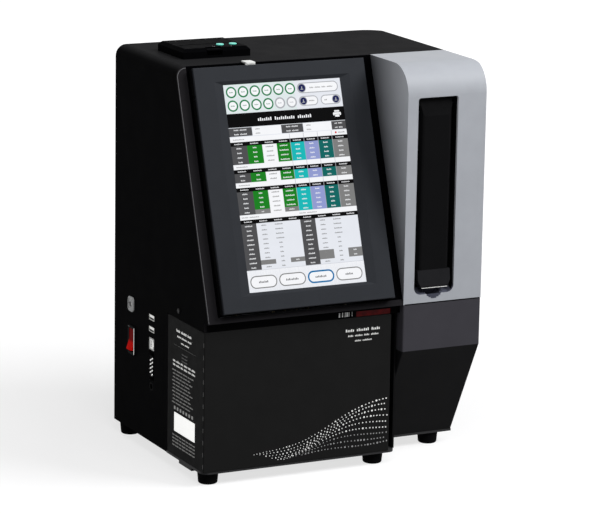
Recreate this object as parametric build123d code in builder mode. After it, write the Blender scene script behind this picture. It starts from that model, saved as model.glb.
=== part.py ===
"""A bench-top blood gas analyzer with a leaning touch-screen door, a sampler tower,
a slide-in reagent pack, a roll printer in the roof and its sockets on the left side.

The origin is the middle of the footprint, on the bench. +X runs to the viewer's right,
+Z is up, and the screen faces -Y. Lengths are millimetres and angles are degrees.
"""
from build123d import *
from math import atan, cos, degrees, radians, sin, tan
import os

os.makedirs("parts", exist_ok=True)

# Housing
WIDTH = 320.3
DEPTH = 235.5  # from the reagent pack's front to the rear edge of the cover
HEIGHT = 430.0  # from the bench to the roof
TILT = 19.1  # how far the screen front leans back
NOSE_STEP = 7.0  # the nose line stands this far in front of the pack
COVER_WALL = 3.0
COVER_BEND = 12.0  # radius of the roof's left edge
RIGHT_BEND = 5.0  # radius of the roof's right edge
REAR_BEND = 28.0  # radius of the upright corner at the rear right
RIM_EDGE = 1.2  # radius of the leaning edges
SHEET = 2.0  # inner sheet-metal walls
BASE_SHEET = 2.5
BASE_CORNER = 8.0
RIDGE_LEFT = 2.0  # the pan's pressed ridge beside the left feet
RIDGE_WIDTH = 18.0
RIDGE_BACK = 34.0
RIDGE_LENGTH = 32.0
RIDGE_DROP = 4.5
FOOT_INSET = 13.5
FOOT_FRONT = 18.0  # the front feet, behind the pack's front
FOOT_SIDE = 20.0  # the middle foot, in from the tower
FOOT_RIGHT = 21.8  # the right front foot, in from the right side
FOOT_CORNER = 21.0  # the rear right foot, in from both sides
FOOT_HEIGHT = 13.5
FOOT_RADIUS = 11.3
FOOT_TAPER = 1.2
FOOT_ROUND = 2.0
RUNNING = 0.05  # radial clearance of a pin in its bore
FREE = 0.3  # gap between faces that move past each other

# Display door, in the leaning plane: across, up the slope and out from it
DOOR_LEFT = 15.3  # from the housing's left side
DOOR_RIGHT_GAP = 13.7  # from the door to the tower
DOOR_LOW = 8.2  # from the nose line, up the slope
DOOR_TOP_GAP = 4.4  # from the door to the roof line, up the slope
DOOR_PROUD = 10.5
DOOR_INSIDE = 12.0
DOOR_GAP = 1.8
DOOR_WALL = 2.5
DOOR_FLOOR = 2.0
TRAY_INSET = 0.4
BEZEL_PLATE = 3.0
BEZEL_EDGE = 0.8
SCREEN_WIDTH = 135.6  # lit area of a 10.1 inch panel
SCREEN_HEIGHT = 217.0
SCREEN_LEFT = 32.6  # the door's border at its left
SCREEN_RIGHT = 29.8
SCREEN_LOW = 19.9
SCREEN_TOP = 19.3
BEVEL_SIDE = 10.5
BEVEL_END = 3.6
BEVEL_DEPTH = 2.2
GLASS_THICK = 1.8
GLASS_BORDER = 7.0
PANEL_THICK = 5.0
PANEL_BORDER = 6.5
KNUCKLE_IN = 3.5  # hinge axis, from the door's left edge
KNUCKLE_OUT = 4.5  # hinge axis, out from the leaning plane
KNUCKLE_RADIUS = 2.4
KNUCKLE_THICK = 3.0
KNUCKLE_LOW = 32.0  # from the door's lower edge
KNUCKLE_HIGH = 30.2  # from the door's upper edge
EAR_BACK = 18.0  # the ears' feet, in from the leaning plane
EAR_FOOT = 8.0
TOUCH_BOARD = (100.0, 60.0)
BOSS_RISE = 2.0
DOOR_PIN_RADIUS = 1.0
DOOR_PIN_LENGTH = 13.0
TAB_WIDTH = 11.0
TAB_LEFT = 76.0
TAB_REACH = 11.5  # the tab's front, before the roof's front edge
TAB_DEPTH = 13.0
TAB_THICK = 1.4

# Reagent pack and its bay
PACK_WIDTH = 217.0
PACK_DEPTH = 92.4
PACK_SIDE_GAP = 10.0  # from the pack to the tower
PACK_WALL = 2.0
PACK_EDGE = 1.0
BAY_REAR_GAP = 1.6
BAY_TOP_GAP = 0.5
BEAM_STEP = 1.5  # the beam stands this far behind the pack's front
BEAM_HEIGHT = 9.7
GUIDE_WIDTH = 5.0
GUIDE_HEIGHT = 3.0
GUIDE_LEFT = 54.0
GUIDE_SET = 12.0  # the guides start this far behind the pack's front
BAG_COUNT = 4
BAG_GAP = 2.0
BAG_HEADROOM = 12.0
MANIFOLD_WIDTH = 84.0
MANIFOLD_HEIGHT = 26.0
MANIFOLD_DEPTH = 12.0
MANIFOLD_LEFT = 66.0
MANIFOLD_LOW = 62.0
PORT_COUNT = 6
PORT_PITCH = 12.5
SPIGOT_RADIUS = 2.0
SPIGOT_REACH = 8.0
SPIGOT_CLEAR = 0.8

# Sampler tower
TOWER_WALL = 3.0
TOWER_BEND = 32.0
TOWER_EDGE = 1.5
BAND_HEIGHT = 51.0
FOOT_STEP = 49.5  # the tower's toe, behind the pack's front
SLOT_INSET = 12.2  # from the tower's left cheek
SLOT_WIDTH = 47.5
SLOT_RISE = 9.6  # the slot's foot, above the nose line
SLOT_HEAD = 33.5  # the slot's top, below the roof
SLOT_TOP_ROUND = 3.0
SLOT_FOOT_ROUND = 8.0
THUMB_RADIUS = 9.0
THUMB_RISE = 2.4
SILL_DEPTH = 10.0
SILL_RISE = 5.0
SILL_DROP = 8.0
RECESS_WALL = 2.5
RECESS_DEPTH = 45.0
RECESS_HEADROOM = 2.0
FLAP_SIDE_GAP = 4.2
FLAP_SET_BACK = 1.5
FLAP_THICK = 5.0
FLAP_BEVEL_SIDE = 3.6
FLAP_BEVEL_TOP = 17.5
FLAP_TOP_GAP = 2.5
FLAP_ROUND = 3.4
FLAP_SKIN = 2.0
LIP_LOW = 6.4  # underside of the lip, above the slot's lower edge
LIP_HEIGHT = 19.5
LIP_PROUD = 2.8
LIP_WIDTH = 38.5
LIP_CORNER = (4.0, 9.0)  # cut off the lip's two lower corners, across and up
FLAP_AXIS_BACK = 9.0
FLAP_AXIS_DROP = 8.5
PIN_RADIUS = 1.5
PROBE_AXIS_BACK = 25.0
PROBE_AXIS_DROP = 26.0
PROBE_BLOCK = (14.0, 11.0, 46.0)
NEEDLE_RADIUS = 0.8
NEEDLE_LENGTH = 158.0
WELL_RADIUS = 8.0
WELL_HEIGHT = 20.0

# Barcode reader under the nose
SCAN_INSET = 51.3  # the window's left end, from the tower
SCAN_WIDTH = 40.5
SCAN_HEIGHT = 5.6
SCAN_PANE = 1.5
READER_SIZE = (30.0, 20.0, 6.5)

# Measuring bay behind the door
BAY_DEPTH = 50.0  # the mounting panel, in from the leaning plane
BLOCK_HEIGHT = 40.0
BLOCK_DEPTH = 28.0
CELLS_LEFT = 54.0
BLOCK_UP = 160.0
BLOCK_WALL = 6.0
CELL_COUNT = 6
CELL_PITCH = 18.0
CELL_GAP = 0.4
CELL_DEPTH = 20.0
CELL_CAP_RADIUS = 4.5
CELL_CAP_LENGTH = 16.0
CLAMP_RADIUS = 7.0
CLAMP_THROW = 1.0  # how far off centre the clamp's disc stands
CLAMP_ARM = 34.0
CLAMP_ARM_WIDTH = 8.0
CLAMP_THICK = 6.0
PUMP_RADIUS = 27.0
PUMP_WALL = 3.0
PUMP_DEPTH = 20.0
PUMP_ACROSS = (72.0, 156.0)
PUMP_UP = 66.0
ROLLER_COUNT = 3
ROLLER_RADIUS = 5.5
ORBIT_RADIUS = 13.5
ROTOR_THICK = 3.0
SHAFT_RADIUS = 3.0
SHAFT_LENGTH = 14.0
TUBE_RADIUS = 2.0
MOTOR_RADIUS = 18.0
MOTOR_LENGTH = 38.0
VALVE_WIDTH = 44.0
VALVE_HEIGHT = 30.0
VALVE_DEPTH = 22.0
VALVE_UP = 118.0
LINK_RADIUS = 1.5

# Sockets and switch on the left side, from the pack's front and the bench
SOCKET_BACK = 135.0
USB_HEIGHTS = (138.4, 151.4)
USB_SIZE = (17.0, 13.1, 5.7)
LAN_HEIGHT = 122.4
LAN_SIZE = (20.0, 12.3, 13.0)
SERIAL_HEIGHT = 97.8
SERIAL_SIZE = (13.0, 12.5, 31.0)
JACK_HEIGHT = 75.5
JACK_RADIUS = 4.8
JACK_BORE = 3.1
JACK_LENGTH = 16.0
SOCKET_WALL = 1.2
SOCKET_SKIN = 0.6
LAN_MOUTH = (13.0, 7.6, 10.0)
LAN_NOTCH = 1.8
SERIAL_SET = 6.0  # the serial flange, in from the left side
D_HEIGHT = 8.4
D_LENGTH = 24.8
PIN_PITCH = 4.4
BOARD_THICK = 1.6
BOARD_SET = 6.75  # the board, behind the sockets' middle
CHIP_THICK = 1.4
CHIP_HALF = 9.0
STANDOFF_RADIUS = 3.0
BOARD_WIDTH = 118.0
BOARD_LOW = 62.0
BOARD_HIGH = 162.0
INLET_BACK = 189.0
INLET_HEIGHT = 154.3
INLET_FLANGE = (14.5, 16.3)
INLET_ROUND = 4.0
INLET_NUT = 9.5
INLET_PROUD = 1.6
INLET_NECK = 7.0
INLET_LENGTH = 22.0
INLET_BORE = 3.0
INLET_DEPTH = 14.0
SWITCH_BACK = 185.7
SWITCH_HEIGHT = 114.9
SWITCH_FLANGE = (17.5, 31.6)
SWITCH_BODY = (15.0, 29.4)
SWITCH_PROUD = 2.0
SWITCH_DEPTH = 20.0
SWITCH_WALL = 1.5
ROCKER_TURN = 9.0  # to each side of the middle
ROCKER_AXIS_IN = 5.0
ROCKER_CLEAR = 1.6
ROCKER_RISE = 1.4  # the rocker's two tips, above the frame at mid-travel

# Printer in the roof
PRINTER_LEFT = 26.7
PRINTER_WIDTH = 77.4
PRINTER_BACK = 118.5
PRINTER_DEPTH = 65.5
PRINTER_PROUD = 10.5
PRINTER_CHAMFER = 3.5
PRINTER_MARGIN = 4.0
PRINTER_WALL = 2.5
STRIP_DEPTH = 26.0  # the printer's front strip, before its pocket
ROLL_DROP = 17.0  # the roll's axis, below the roof
ROLL_RADIUS = 14.5
ROLL_WIDTH = 57.0
ROLL_CORE = 6.0
LID_THICK = 2.0
LID_KNUCKLE = 3.4
PLATEN_RADIUS = 4.0
HEAD_THICK = 1.4
HEAD_DROP = 6.0
PAPER_SLOT = 2.1
BUTTON_RADIUS = 4.0
BUTTON_PROUD = 0.9
BUTTON_SINK = 2.8
BUTTON_TRAVEL = 1.2
BUTTON_BACK = 136.4
BUTTON_LEFTS = (77.0, 92.0)
LEVER_WIDTH = 17.0
LEVER_LEFT = 54.5
LEVER_IN = 4.2
LEVER_SINK = 5.8
LEVER_BOSS = 1.9
LEVER_LIP = 1.0
LEVER_LIP_DROP = 2.6

# Rear panel, fan and inner upright
PANEL_INSET = 3.0
UPRIGHT_BACK = 150.0
FAN_SIZE = 60.0
FAN_DEPTH = 20.0
FAN_BORE = 28.5
FAN_LEFT = 236.0
FAN_HEIGHT = 330.0
HUB_RADIUS = 13.0
BLADE_COUNT = 7
BLADE_THICK = 1.6
BLADE_PITCH = 38.0
FAN_ARM = 3.0
AXLE_RADIUS = 1.5
SCREW_HEAD = 2.8
SCREW_RAISE = 1.4
SCREW_SHANK = 1.5
SCREW_LENGTH = 5.0
SCREW_BACK = 63.8  # the side screw, from the pack's front
SCREW_RISE = 8.7  # the side screw, above the pack bay
SCREW_TAB = 16.0
FAN_SCREW_PITCH = 50.0

# Planes and lines that the pieces share
TILT_SIN = sin(radians(TILT))
TILT_COS = cos(radians(TILT))
TILT_TAN = tan(radians(TILT))
DOOR_WIDTH = SCREEN_LEFT + SCREEN_WIDTH + SCREEN_RIGHT
DOOR_HEIGHT = SCREEN_LOW + SCREEN_HEIGHT + SCREEN_TOP
NOSE_HEIGHT = HEIGHT - (DOOR_LOW + DOOR_HEIGHT + DOOR_TOP_GAP) * TILT_COS
OVERHANG = DOOR_PROUD * TILT_COS - DOOR_LOW * TILT_SIN
ROCKER_HALF = SWITCH_BODY[1] / 2 - SWITCH_WALL - ROCKER_CLEAR
ROCKER_TIP = SWITCH_PROUD + ROCKER_AXIS_IN + ROCKER_RISE
ROCKER_REACH = (ROCKER_TIP * cos(radians(ROCKER_TURN)) + ROCKER_HALF * sin(radians(ROCKER_TURN))
                - ROCKER_AXIS_IN)
LEFT = (ROCKER_REACH - WIDTH) / 2
RIGHT = LEFT + WIDTH
PACK_FRONT = (NOSE_STEP + OVERHANG - DEPTH) / 2
REAR = PACK_FRONT + DEPTH
NOSE = PACK_FRONT - NOSE_STEP
FLOOR = FOOT_HEIGHT + BASE_SHEET
BAY_REAR = PACK_FRONT + PACK_DEPTH + BAY_REAR_GAP
BAY_TOP = NOSE_HEIGHT - BEAM_HEIGHT
PACK_HEIGHT = BAY_TOP - BAY_TOP_GAP - FLOOR
BEAM = PACK_FRONT + BEAM_STEP
TOE = PACK_FRONT + FOOT_STEP
ROOF_IN = HEIGHT - COVER_WALL
INNER_LEFT = LEFT + COVER_WALL
INNER_RIGHT = RIGHT - COVER_WALL
TOWER_X = LEFT + max(PACK_WIDTH + PACK_SIDE_GAP, DOOR_LEFT + DOOR_WIDTH + DOOR_RIGHT_GAP)
SLOT_X = (TOWER_X + SLOT_INSET, TOWER_X + SLOT_INSET + SLOT_WIDTH)
SLOT_LOW = NOSE_HEIGHT + SLOT_RISE
SLOT_TOP = HEIGHT - SLOT_HEAD
SLOT_HEIGHT = SLOT_TOP - SLOT_LOW
UPRIGHT = PACK_FRONT + UPRIGHT_BACK
SHELF_TOP = BAY_TOP + SHEET
SLOPE = Plane(origin=(0, NOSE, NOSE_HEIGHT), x_dir=(1, 0, 0), z_dir=(0, -TILT_COS, TILT_SIN))


def slope_y(height, out=0.0):
    """Depth of the leaning plane at a height, moved out along its normal."""
    return NOSE + (height - NOSE_HEIGHT) * TILT_TAN - out / TILT_COS


def block(x_span, y_span, z_span, mode=Mode.ADD):
    """A square-edged block between pairs of limits, in the part being built."""
    size = [high - low for low, high in (x_span, y_span, z_span)]
    middle = tuple((high + low) / 2 for low, high in (x_span, y_span, z_span))
    with Locations(middle):
        Box(*size, mode=mode)


def slab(x_span, up_span, out_span, mode=Mode.ADD, round_by=0.0):
    """A block laid on the leaning plane: across, up the slope and out from it."""
    with BuildSketch(SLOPE.offset(out_span[0])) as outline:
        with Locations(((x_span[0] + x_span[1]) / 2, (up_span[0] + up_span[1]) / 2)):
            if round_by:
                RectangleRounded(x_span[1] - x_span[0], up_span[1] - up_span[0], round_by)
            else:
                Rectangle(x_span[1] - x_span[0], up_span[1] - up_span[0])
    extrude(outline.sketch, amount=out_span[1] - out_span[0], mode=mode)


def side_profile(points, x_span, mode=Mode.ADD):
    """A side-view outline of (y, z) points carried across between two limits."""
    with BuildSketch(Plane.YZ.offset(x_span[0])) as outline:
        with BuildLine():
            Polyline(*points, close=True)
        make_face()
    extrude(outline.sketch, amount=x_span[1] - x_span[0], mode=mode)


def cross_pin(axis_point, radius, x_span, mode=Mode.ADD):
    """A round bar along X through a (y, z) point."""
    with BuildSketch(Plane.YZ.offset(x_span[0])) as section:
        with Locations(axis_point):
            Circle(radius)
    extrude(section.sketch, amount=x_span[1] - x_span[0], mode=mode)


def post(place, radius, z_span, mode=Mode.ADD):
    """An upright round bar at an (x, y) place."""
    with BuildSketch(Plane.XY.offset(z_span[0])) as section:
        with Locations(place):
            Circle(radius)
    extrude(section.sketch, amount=z_span[1] - z_span[0], mode=mode)


def depth_bar(place, radius, y_span, mode=Mode.ADD):
    """A round bar along Y at an (x, z) place."""
    with BuildSketch(Plane.XZ.offset(-y_span[0])) as section:
        with Locations(place):
            Circle(radius)
    extrude(section.sketch, amount=y_span[0] - y_span[1], mode=mode)


def stub(place, radius, out_span, mode=Mode.ADD):
    """A round bar square to the leaning plane at an (across, up) place."""
    with BuildSketch(SLOPE.offset(out_span[0])) as section:
        with Locations(place):
            Circle(radius)
    extrude(section.sketch, amount=out_span[1] - out_span[0], mode=mode)


def slope_point(up, out):
    """The (y, z) point at a way up the leaning plane and out from it."""
    return (NOSE + up * TILT_SIN - out * TILT_COS, NOSE_HEIGHT + up * TILT_COS + out * TILT_SIN)


def save(builder, label):
    """Label a finished piece and write it to its own file."""
    builder.part.label = label
    export_step(builder.part, f"parts/{label}.step")


OUTWARD = Axis((0, 0, 0), SLOPE.z_dir)

# Sections of the housing, used to trim what lies inside it and what continues it

def bend_roof(builder, inset=0.0):
    """Round the two long upper edges of a housing section."""
    for side, radius in ((0, COVER_BEND), (-1, RIGHT_BEND)):
        fillet(builder.edges().filter_by(Axis.Y).group_by(Axis.Z)[-1].sort_by(Axis.X)[side], radius - inset)


with BuildPart() as outside_plan:
    block((LEFT, RIGHT), (NOSE - 1, REAR), (0, HEIGHT + 1))
    fillet(outside_plan.edges().filter_by(Axis.Z).group_by(Axis.Y)[-1].sort_by(Axis.X)[-1], REAR_BEND)

with BuildPart() as inside_plan:
    block((INNER_LEFT, INNER_RIGHT), (NOSE - 1, REAR - COVER_WALL), (0, HEIGHT))
    fillet(inside_plan.edges().filter_by(Axis.Z).group_by(Axis.Y)[-1].sort_by(Axis.X)[-1], REAR_BEND - COVER_WALL)
    block((INNER_LEFT, RIGHT - REAR_BEND), (REAR - REAR_BEND, REAR + 1), (0, HEIGHT))

with BuildPart() as inside_section:
    block((INNER_LEFT, INNER_RIGHT), (NOSE, REAR + 1), (FLOOR, ROOF_IN))
    bend_roof(inside_section, COVER_WALL)
    add(inside_plan.part, mode=Mode.INTERSECT)

with BuildPart() as outside_section:
    block((LEFT, RIGHT), (NOSE - 1, REAR + 1), (FLOOR, HEIGHT))
    bend_roof(outside_section)


# Base pan: a sheet with a lip under the pack and a step back under the tower
BASE_OUTLINE = [
    (LEFT, PACK_FRONT + 1), (TOWER_X - 1, PACK_FRONT + 1), (TOWER_X - 1, TOE), (RIGHT, TOE),
    (RIGHT, BAY_REAR), (INNER_RIGHT, BAY_REAR), (INNER_RIGHT, REAR - PANEL_INSET),
    (INNER_LEFT, REAR - PANEL_INSET), (INNER_LEFT, BAY_REAR), (LEFT, BAY_REAR),
]
with BuildPart() as base_pan:
    with BuildSketch(Plane.XY.offset(FOOT_HEIGHT)):
        with BuildLine():
            Polyline(*BASE_OUTLINE, close=True)
        make_face()
    extrude(amount=BASE_SHEET)
    lip_corners = base_pan.edges().filter_by(Axis.Z).group_by(Axis.Y)[0]
    fillet(lip_corners, BASE_CORNER)
    rear_corner = base_pan.edges().filter_by(Axis.Z).group_by(Axis.Y)[-1].sort_by(Axis.X)[-1]
    fillet(rear_corner, REAR_BEND - COVER_WALL)
    block((LEFT + RIDGE_LEFT, LEFT + RIDGE_LEFT + RIDGE_WIDTH),
          (PACK_FRONT + RIDGE_BACK, PACK_FRONT + RIDGE_BACK + RIDGE_LENGTH),
          (FOOT_HEIGHT - RIDGE_DROP, FOOT_HEIGHT))
save(base_pan, "base_pan")

# Feet: tapered rubber pads, one under each corner and one under the pack's right end
FOOT_PLACES = [
    (LEFT + FOOT_INSET, PACK_FRONT + FOOT_FRONT), (TOWER_X - FOOT_SIDE, PACK_FRONT + FOOT_FRONT),
    (RIGHT - FOOT_RIGHT, TOE + FOOT_INSET), (LEFT + FOOT_INSET, REAR - FOOT_INSET),
    (RIGHT - FOOT_CORNER, REAR - FOOT_CORNER),
]
with BuildPart() as feet:
    for place in FOOT_PLACES:
        with BuildSketch(Plane.XY.offset(FOOT_HEIGHT)):
            with Locations(place):
                Circle(FOOT_RADIUS)
        extrude(amount=-FOOT_HEIGHT, taper=degrees(atan(FOOT_TAPER / FOOT_HEIGHT)))
    foot_rims = feet.edges().filter_by(GeomType.CIRCLE).group_by(Axis.Z)[0]
    fillet(foot_rims, FOOT_ROUND)
save(feet, "feet")

# Pack guides: two ribs on the pan that steer the sliding pack
GUIDE_SPANS = [(LEFT + GUIDE_LEFT, LEFT + GUIDE_LEFT + GUIDE_WIDTH),
               (LEFT + PACK_WIDTH - GUIDE_LEFT - GUIDE_WIDTH, LEFT + PACK_WIDTH - GUIDE_LEFT)]
with BuildPart() as pack_guides:
    for span in GUIDE_SPANS:
        block(span, (PACK_FRONT + GUIDE_SET, BAY_REAR), (FLOOR, FLOOR + GUIDE_HEIGHT))
    chamfer(pack_guides.edges().filter_by(Axis.Z).group_by(Axis.Y)[0], GUIDE_WIDTH / 3)
save(pack_guides, "pack_guides")

# Main cover: one moulding of roof, two sides and the leaning front wall
COVER_LOW = FOOT_HEIGHT + 0.5
NOSE_SHELF = BEAM + 4
COVER_OUTLINE = [
    (REAR, COVER_LOW), (REAR, HEIGHT), (slope_y(HEIGHT), HEIGHT), (NOSE, NOSE_HEIGHT),
    (BEAM, NOSE_HEIGHT), (BEAM, BAY_TOP), (BAY_REAR, BAY_TOP), (BAY_REAR, COVER_LOW),
]
COVER_HOLLOW = [
    (REAR + 1, COVER_LOW - 1), (REAR + 1, ROOF_IN), (slope_y(ROOF_IN, -COVER_WALL), ROOF_IN),
    (slope_y(NOSE_HEIGHT + COVER_WALL, -COVER_WALL), NOSE_HEIGHT + COVER_WALL),
    (NOSE_SHELF, NOSE_HEIGHT + COVER_WALL), (NOSE_SHELF, NOSE_HEIGHT),
    (BEAM - 1, NOSE_HEIGHT), (BEAM - 1, COVER_LOW - 1),
]
DOOR_X = (LEFT + DOOR_LEFT, LEFT + DOOR_LEFT + DOOR_WIDTH)
DOOR_UP = (DOOR_LOW, DOOR_LOW + DOOR_HEIGHT)
RECESS_X = (SLOT_X[0] - RECESS_WALL, SLOT_X[1] + RECESS_WALL)
RECESS_Y = (NOSE + TOWER_WALL, NOSE + TOWER_WALL + RECESS_DEPTH)
RECESS_Z = (SLOT_LOW - SILL_DROP, SLOT_TOP + RECESS_HEADROOM + RECESS_WALL)
PRINTER_X = (LEFT + PRINTER_LEFT, LEFT + PRINTER_LEFT + PRINTER_WIDTH)
PRINTER_Y = (PACK_FRONT + PRINTER_BACK, PACK_FRONT + PRINTER_BACK + PRINTER_DEPTH)
BUCKET_X = (PRINTER_X[0] + PRINTER_MARGIN, PRINTER_X[1] - PRINTER_MARGIN)
BUCKET_Y = (PRINTER_Y[0] + STRIP_DEPTH - PRINTER_WALL, PRINTER_Y[1] - PRINTER_MARGIN + PRINTER_WALL)
ROLL_AXIS = ((BUCKET_Y[0] + BUCKET_Y[1]) / 2, HEIGHT - ROLL_DROP)
BUCKET_LOW = ROLL_AXIS[1] - ROLL_RADIUS - FREE - PRINTER_WALL
SOCKET_Y = PACK_FRONT + SOCKET_BACK
INLET_Y = PACK_FRONT + INLET_BACK
SWITCH_Y = PACK_FRONT + SWITCH_BACK
WALL_CUT = (LEFT - 1, INNER_LEFT + SHEET + 1)
SIDE_SCREW = (PACK_FRONT + SCREW_BACK, BAY_TOP + SCREW_RISE)


def socket_span(middle, size, clear=0.25):
    """Limits of a cut-out that clears a socket all round."""
    return (middle - size / 2 - clear, middle + size / 2 + clear)


with BuildPart() as cover_hollow:
    side_profile(COVER_HOLLOW, (INNER_LEFT, INNER_RIGHT))
    bend_roof(cover_hollow, COVER_WALL)
    add(inside_plan.part, mode=Mode.INTERSECT)

with BuildPart() as main_cover:
    side_profile(COVER_OUTLINE, (LEFT, RIGHT))
    bend_roof(main_cover)
    leaning = main_cover.edges().filter_by(Axis((0, 0, 0), SLOPE.y_dir))
    fillet(leaning, RIM_EDGE)
    add(outside_plan.part, mode=Mode.INTERSECT)
    add(cover_hollow.part, mode=Mode.SUBTRACT)
    slab((DOOR_X[0] - DOOR_GAP, DOOR_X[1] + DOOR_GAP), (DOOR_UP[0] - DOOR_GAP, DOOR_UP[1] + DOOR_GAP),
         (-COVER_WALL - 2, 2), Mode.SUBTRACT)
    block(RECESS_X, (NOSE - 1, RECESS_Y[1]), RECESS_Z, Mode.SUBTRACT)
    block(BUCKET_X, BUCKET_Y, (ROOF_IN - 1, HEIGHT + 1), Mode.SUBTRACT)
    for height in USB_HEIGHTS:
        block(WALL_CUT, socket_span(SOCKET_Y, USB_SIZE[1]), socket_span(height, USB_SIZE[2]), Mode.SUBTRACT)
    block(WALL_CUT, socket_span(SOCKET_Y, LAN_SIZE[1]), socket_span(LAN_HEIGHT, LAN_SIZE[2]), Mode.SUBTRACT)
    block(WALL_CUT, socket_span(SOCKET_Y, SERIAL_SIZE[1]), socket_span(SERIAL_HEIGHT, SERIAL_SIZE[2]),
          Mode.SUBTRACT)
    block(WALL_CUT, socket_span(SWITCH_Y, SWITCH_BODY[0], 0), socket_span(SWITCH_HEIGHT, SWITCH_BODY[1], 0),
          Mode.SUBTRACT)
    cross_pin((INLET_Y, INLET_HEIGHT), INLET_NECK + RUNNING, WALL_CUT, Mode.SUBTRACT)
    cross_pin((SOCKET_Y, JACK_HEIGHT), JACK_RADIUS, WALL_CUT, Mode.SUBTRACT)
    cross_pin(SIDE_SCREW, SCREW_SHANK, WALL_CUT, Mode.SUBTRACT)
save(main_cover, "main_cover")

# Rear panel: a flat sheet inside the cover's rear edge, slotted for the fan
PANEL_Y = (REAR - PANEL_INSET - SHEET, REAR - PANEL_INSET)
FAN_X = LEFT + FAN_LEFT
GRILLE_PITCH = 7.0
GRILLE_SLOT = 4.0
VENT_LEFT = 60.0
VENT_HEIGHT = 80.0
with BuildPart() as rear_panel:
    block((INNER_LEFT, INNER_RIGHT), PANEL_Y, (FLOOR, ROOF_IN))
    add(inside_section.part, mode=Mode.INTERSECT)
    with BuildSketch(Plane.XZ.offset(-PANEL_Y[1])):
        with Locations((FAN_X, FAN_HEIGHT)):
            with GridLocations(0, GRILLE_PITCH, 1, 7):
                SlotOverall(FAN_SIZE * 0.72, GRILLE_SLOT)
        with Locations((LEFT + VENT_LEFT + FAN_SIZE / 2, VENT_HEIGHT)):
            with GridLocations(0, GRILLE_PITCH, 1, 5):
                SlotOverall(FAN_SIZE, GRILLE_SLOT)
        with Locations((FAN_X, FAN_HEIGHT)):
            with GridLocations(FAN_SCREW_PITCH, FAN_SCREW_PITCH, 2, 2):
                Circle(SCREW_SHANK)
    extrude(amount=SHEET, mode=Mode.SUBTRACT)
save(rear_panel, "rear_panel")

# Inner upright: the sheet wall that carries the boards
with BuildPart() as inner_upright:
    block((INNER_LEFT, INNER_RIGHT), (UPRIGHT, UPRIGHT + SHEET), (FLOOR, ROOF_IN))
    add(inside_section.part, mode=Mode.INTERSECT)
    block((BUCKET_X[0] - FREE, BUCKET_X[1] + FREE), (UPRIGHT - 1, UPRIGHT + SHEET + 1),
          (BUCKET_LOW - FREE, ROOF_IN + 1), Mode.SUBTRACT)
    depth_bar((FAN_X, FAN_HEIGHT), FAN_BORE, (UPRIGHT - 1, UPRIGHT + SHEET + 1), Mode.SUBTRACT)
save(inner_upright, "inner_upright")

# Pack bay: shelf, back wall and right wall bent from one sheet
PACK_X = (LEFT, LEFT + PACK_WIDTH)
PACK_Y = (PACK_FRONT, PACK_FRONT + PACK_DEPTH)
PORT_X = LEFT + MANIFOLD_LEFT + MANIFOLD_WIDTH / 2
PORT_Z = FLOOR + MANIFOLD_LOW + MANIFOLD_HEIGHT / 2
with BuildPart() as bay_liner:
    block((INNER_LEFT, TOWER_X), (BEAM + SHEET, BAY_REAR + SHEET), (BAY_TOP, SHELF_TOP))
    block((INNER_LEFT, TOWER_X), (BAY_REAR, BAY_REAR + SHEET), (FLOOR, BAY_TOP))
    block((TOWER_X - SHEET, TOWER_X), (PACK_FRONT + NOSE_STEP, BAY_REAR), (FLOOR, BAY_TOP))
    block((INNER_LEFT, INNER_LEFT + SHEET), (SIDE_SCREW[0] - SCREW_TAB / 2, SIDE_SCREW[0] + SCREW_TAB / 2),
          (BAY_TOP, SIDE_SCREW[1] + SCREW_TAB / 2))
    cross_pin(SIDE_SCREW, SCREW_SHANK, WALL_CUT, Mode.SUBTRACT)
    with BuildSketch(Plane.XZ.offset(-BAY_REAR - SHEET)):
        with Locations((PORT_X, PORT_Z)):
            with GridLocations(PORT_PITCH, 0, PORT_COUNT, 1):
                Circle(SPIGOT_RADIUS)
    extrude(amount=SHEET, mode=Mode.SUBTRACT)
save(bay_liner, "bay_liner")

# Pack couplings: a row of spigots through the bay's back wall
COUPLING_DEPTH = 9.0
with BuildPart() as pack_couplings:
    block((PORT_X - MANIFOLD_WIDTH / 2, PORT_X + MANIFOLD_WIDTH / 2),
          (BAY_REAR + SHEET, BAY_REAR + SHEET + COUPLING_DEPTH),
          (PORT_Z - MANIFOLD_HEIGHT / 2, PORT_Z + MANIFOLD_HEIGHT / 2))
    chamfer(pack_couplings.edges().filter_by(Axis.Y), 3)
    with BuildSketch(Plane.XZ.offset(-BAY_REAR - SHEET - COUPLING_DEPTH - SPIGOT_REACH)):
        with Locations((PORT_X, PORT_Z)):
            with GridLocations(PORT_PITCH, 0, PORT_COUNT, 1):
                Circle(SPIGOT_RADIUS)
    extrude(amount=COUPLING_DEPTH + SHEET + BAY_REAR_GAP + 2 * SPIGOT_REACH)
    tips = pack_couplings.edges().filter_by(GeomType.CIRCLE).group_by(Axis.Y)[0]
    chamfer(tips, SPIGOT_RADIUS / 3)
save(pack_couplings, "pack_couplings")

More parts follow.
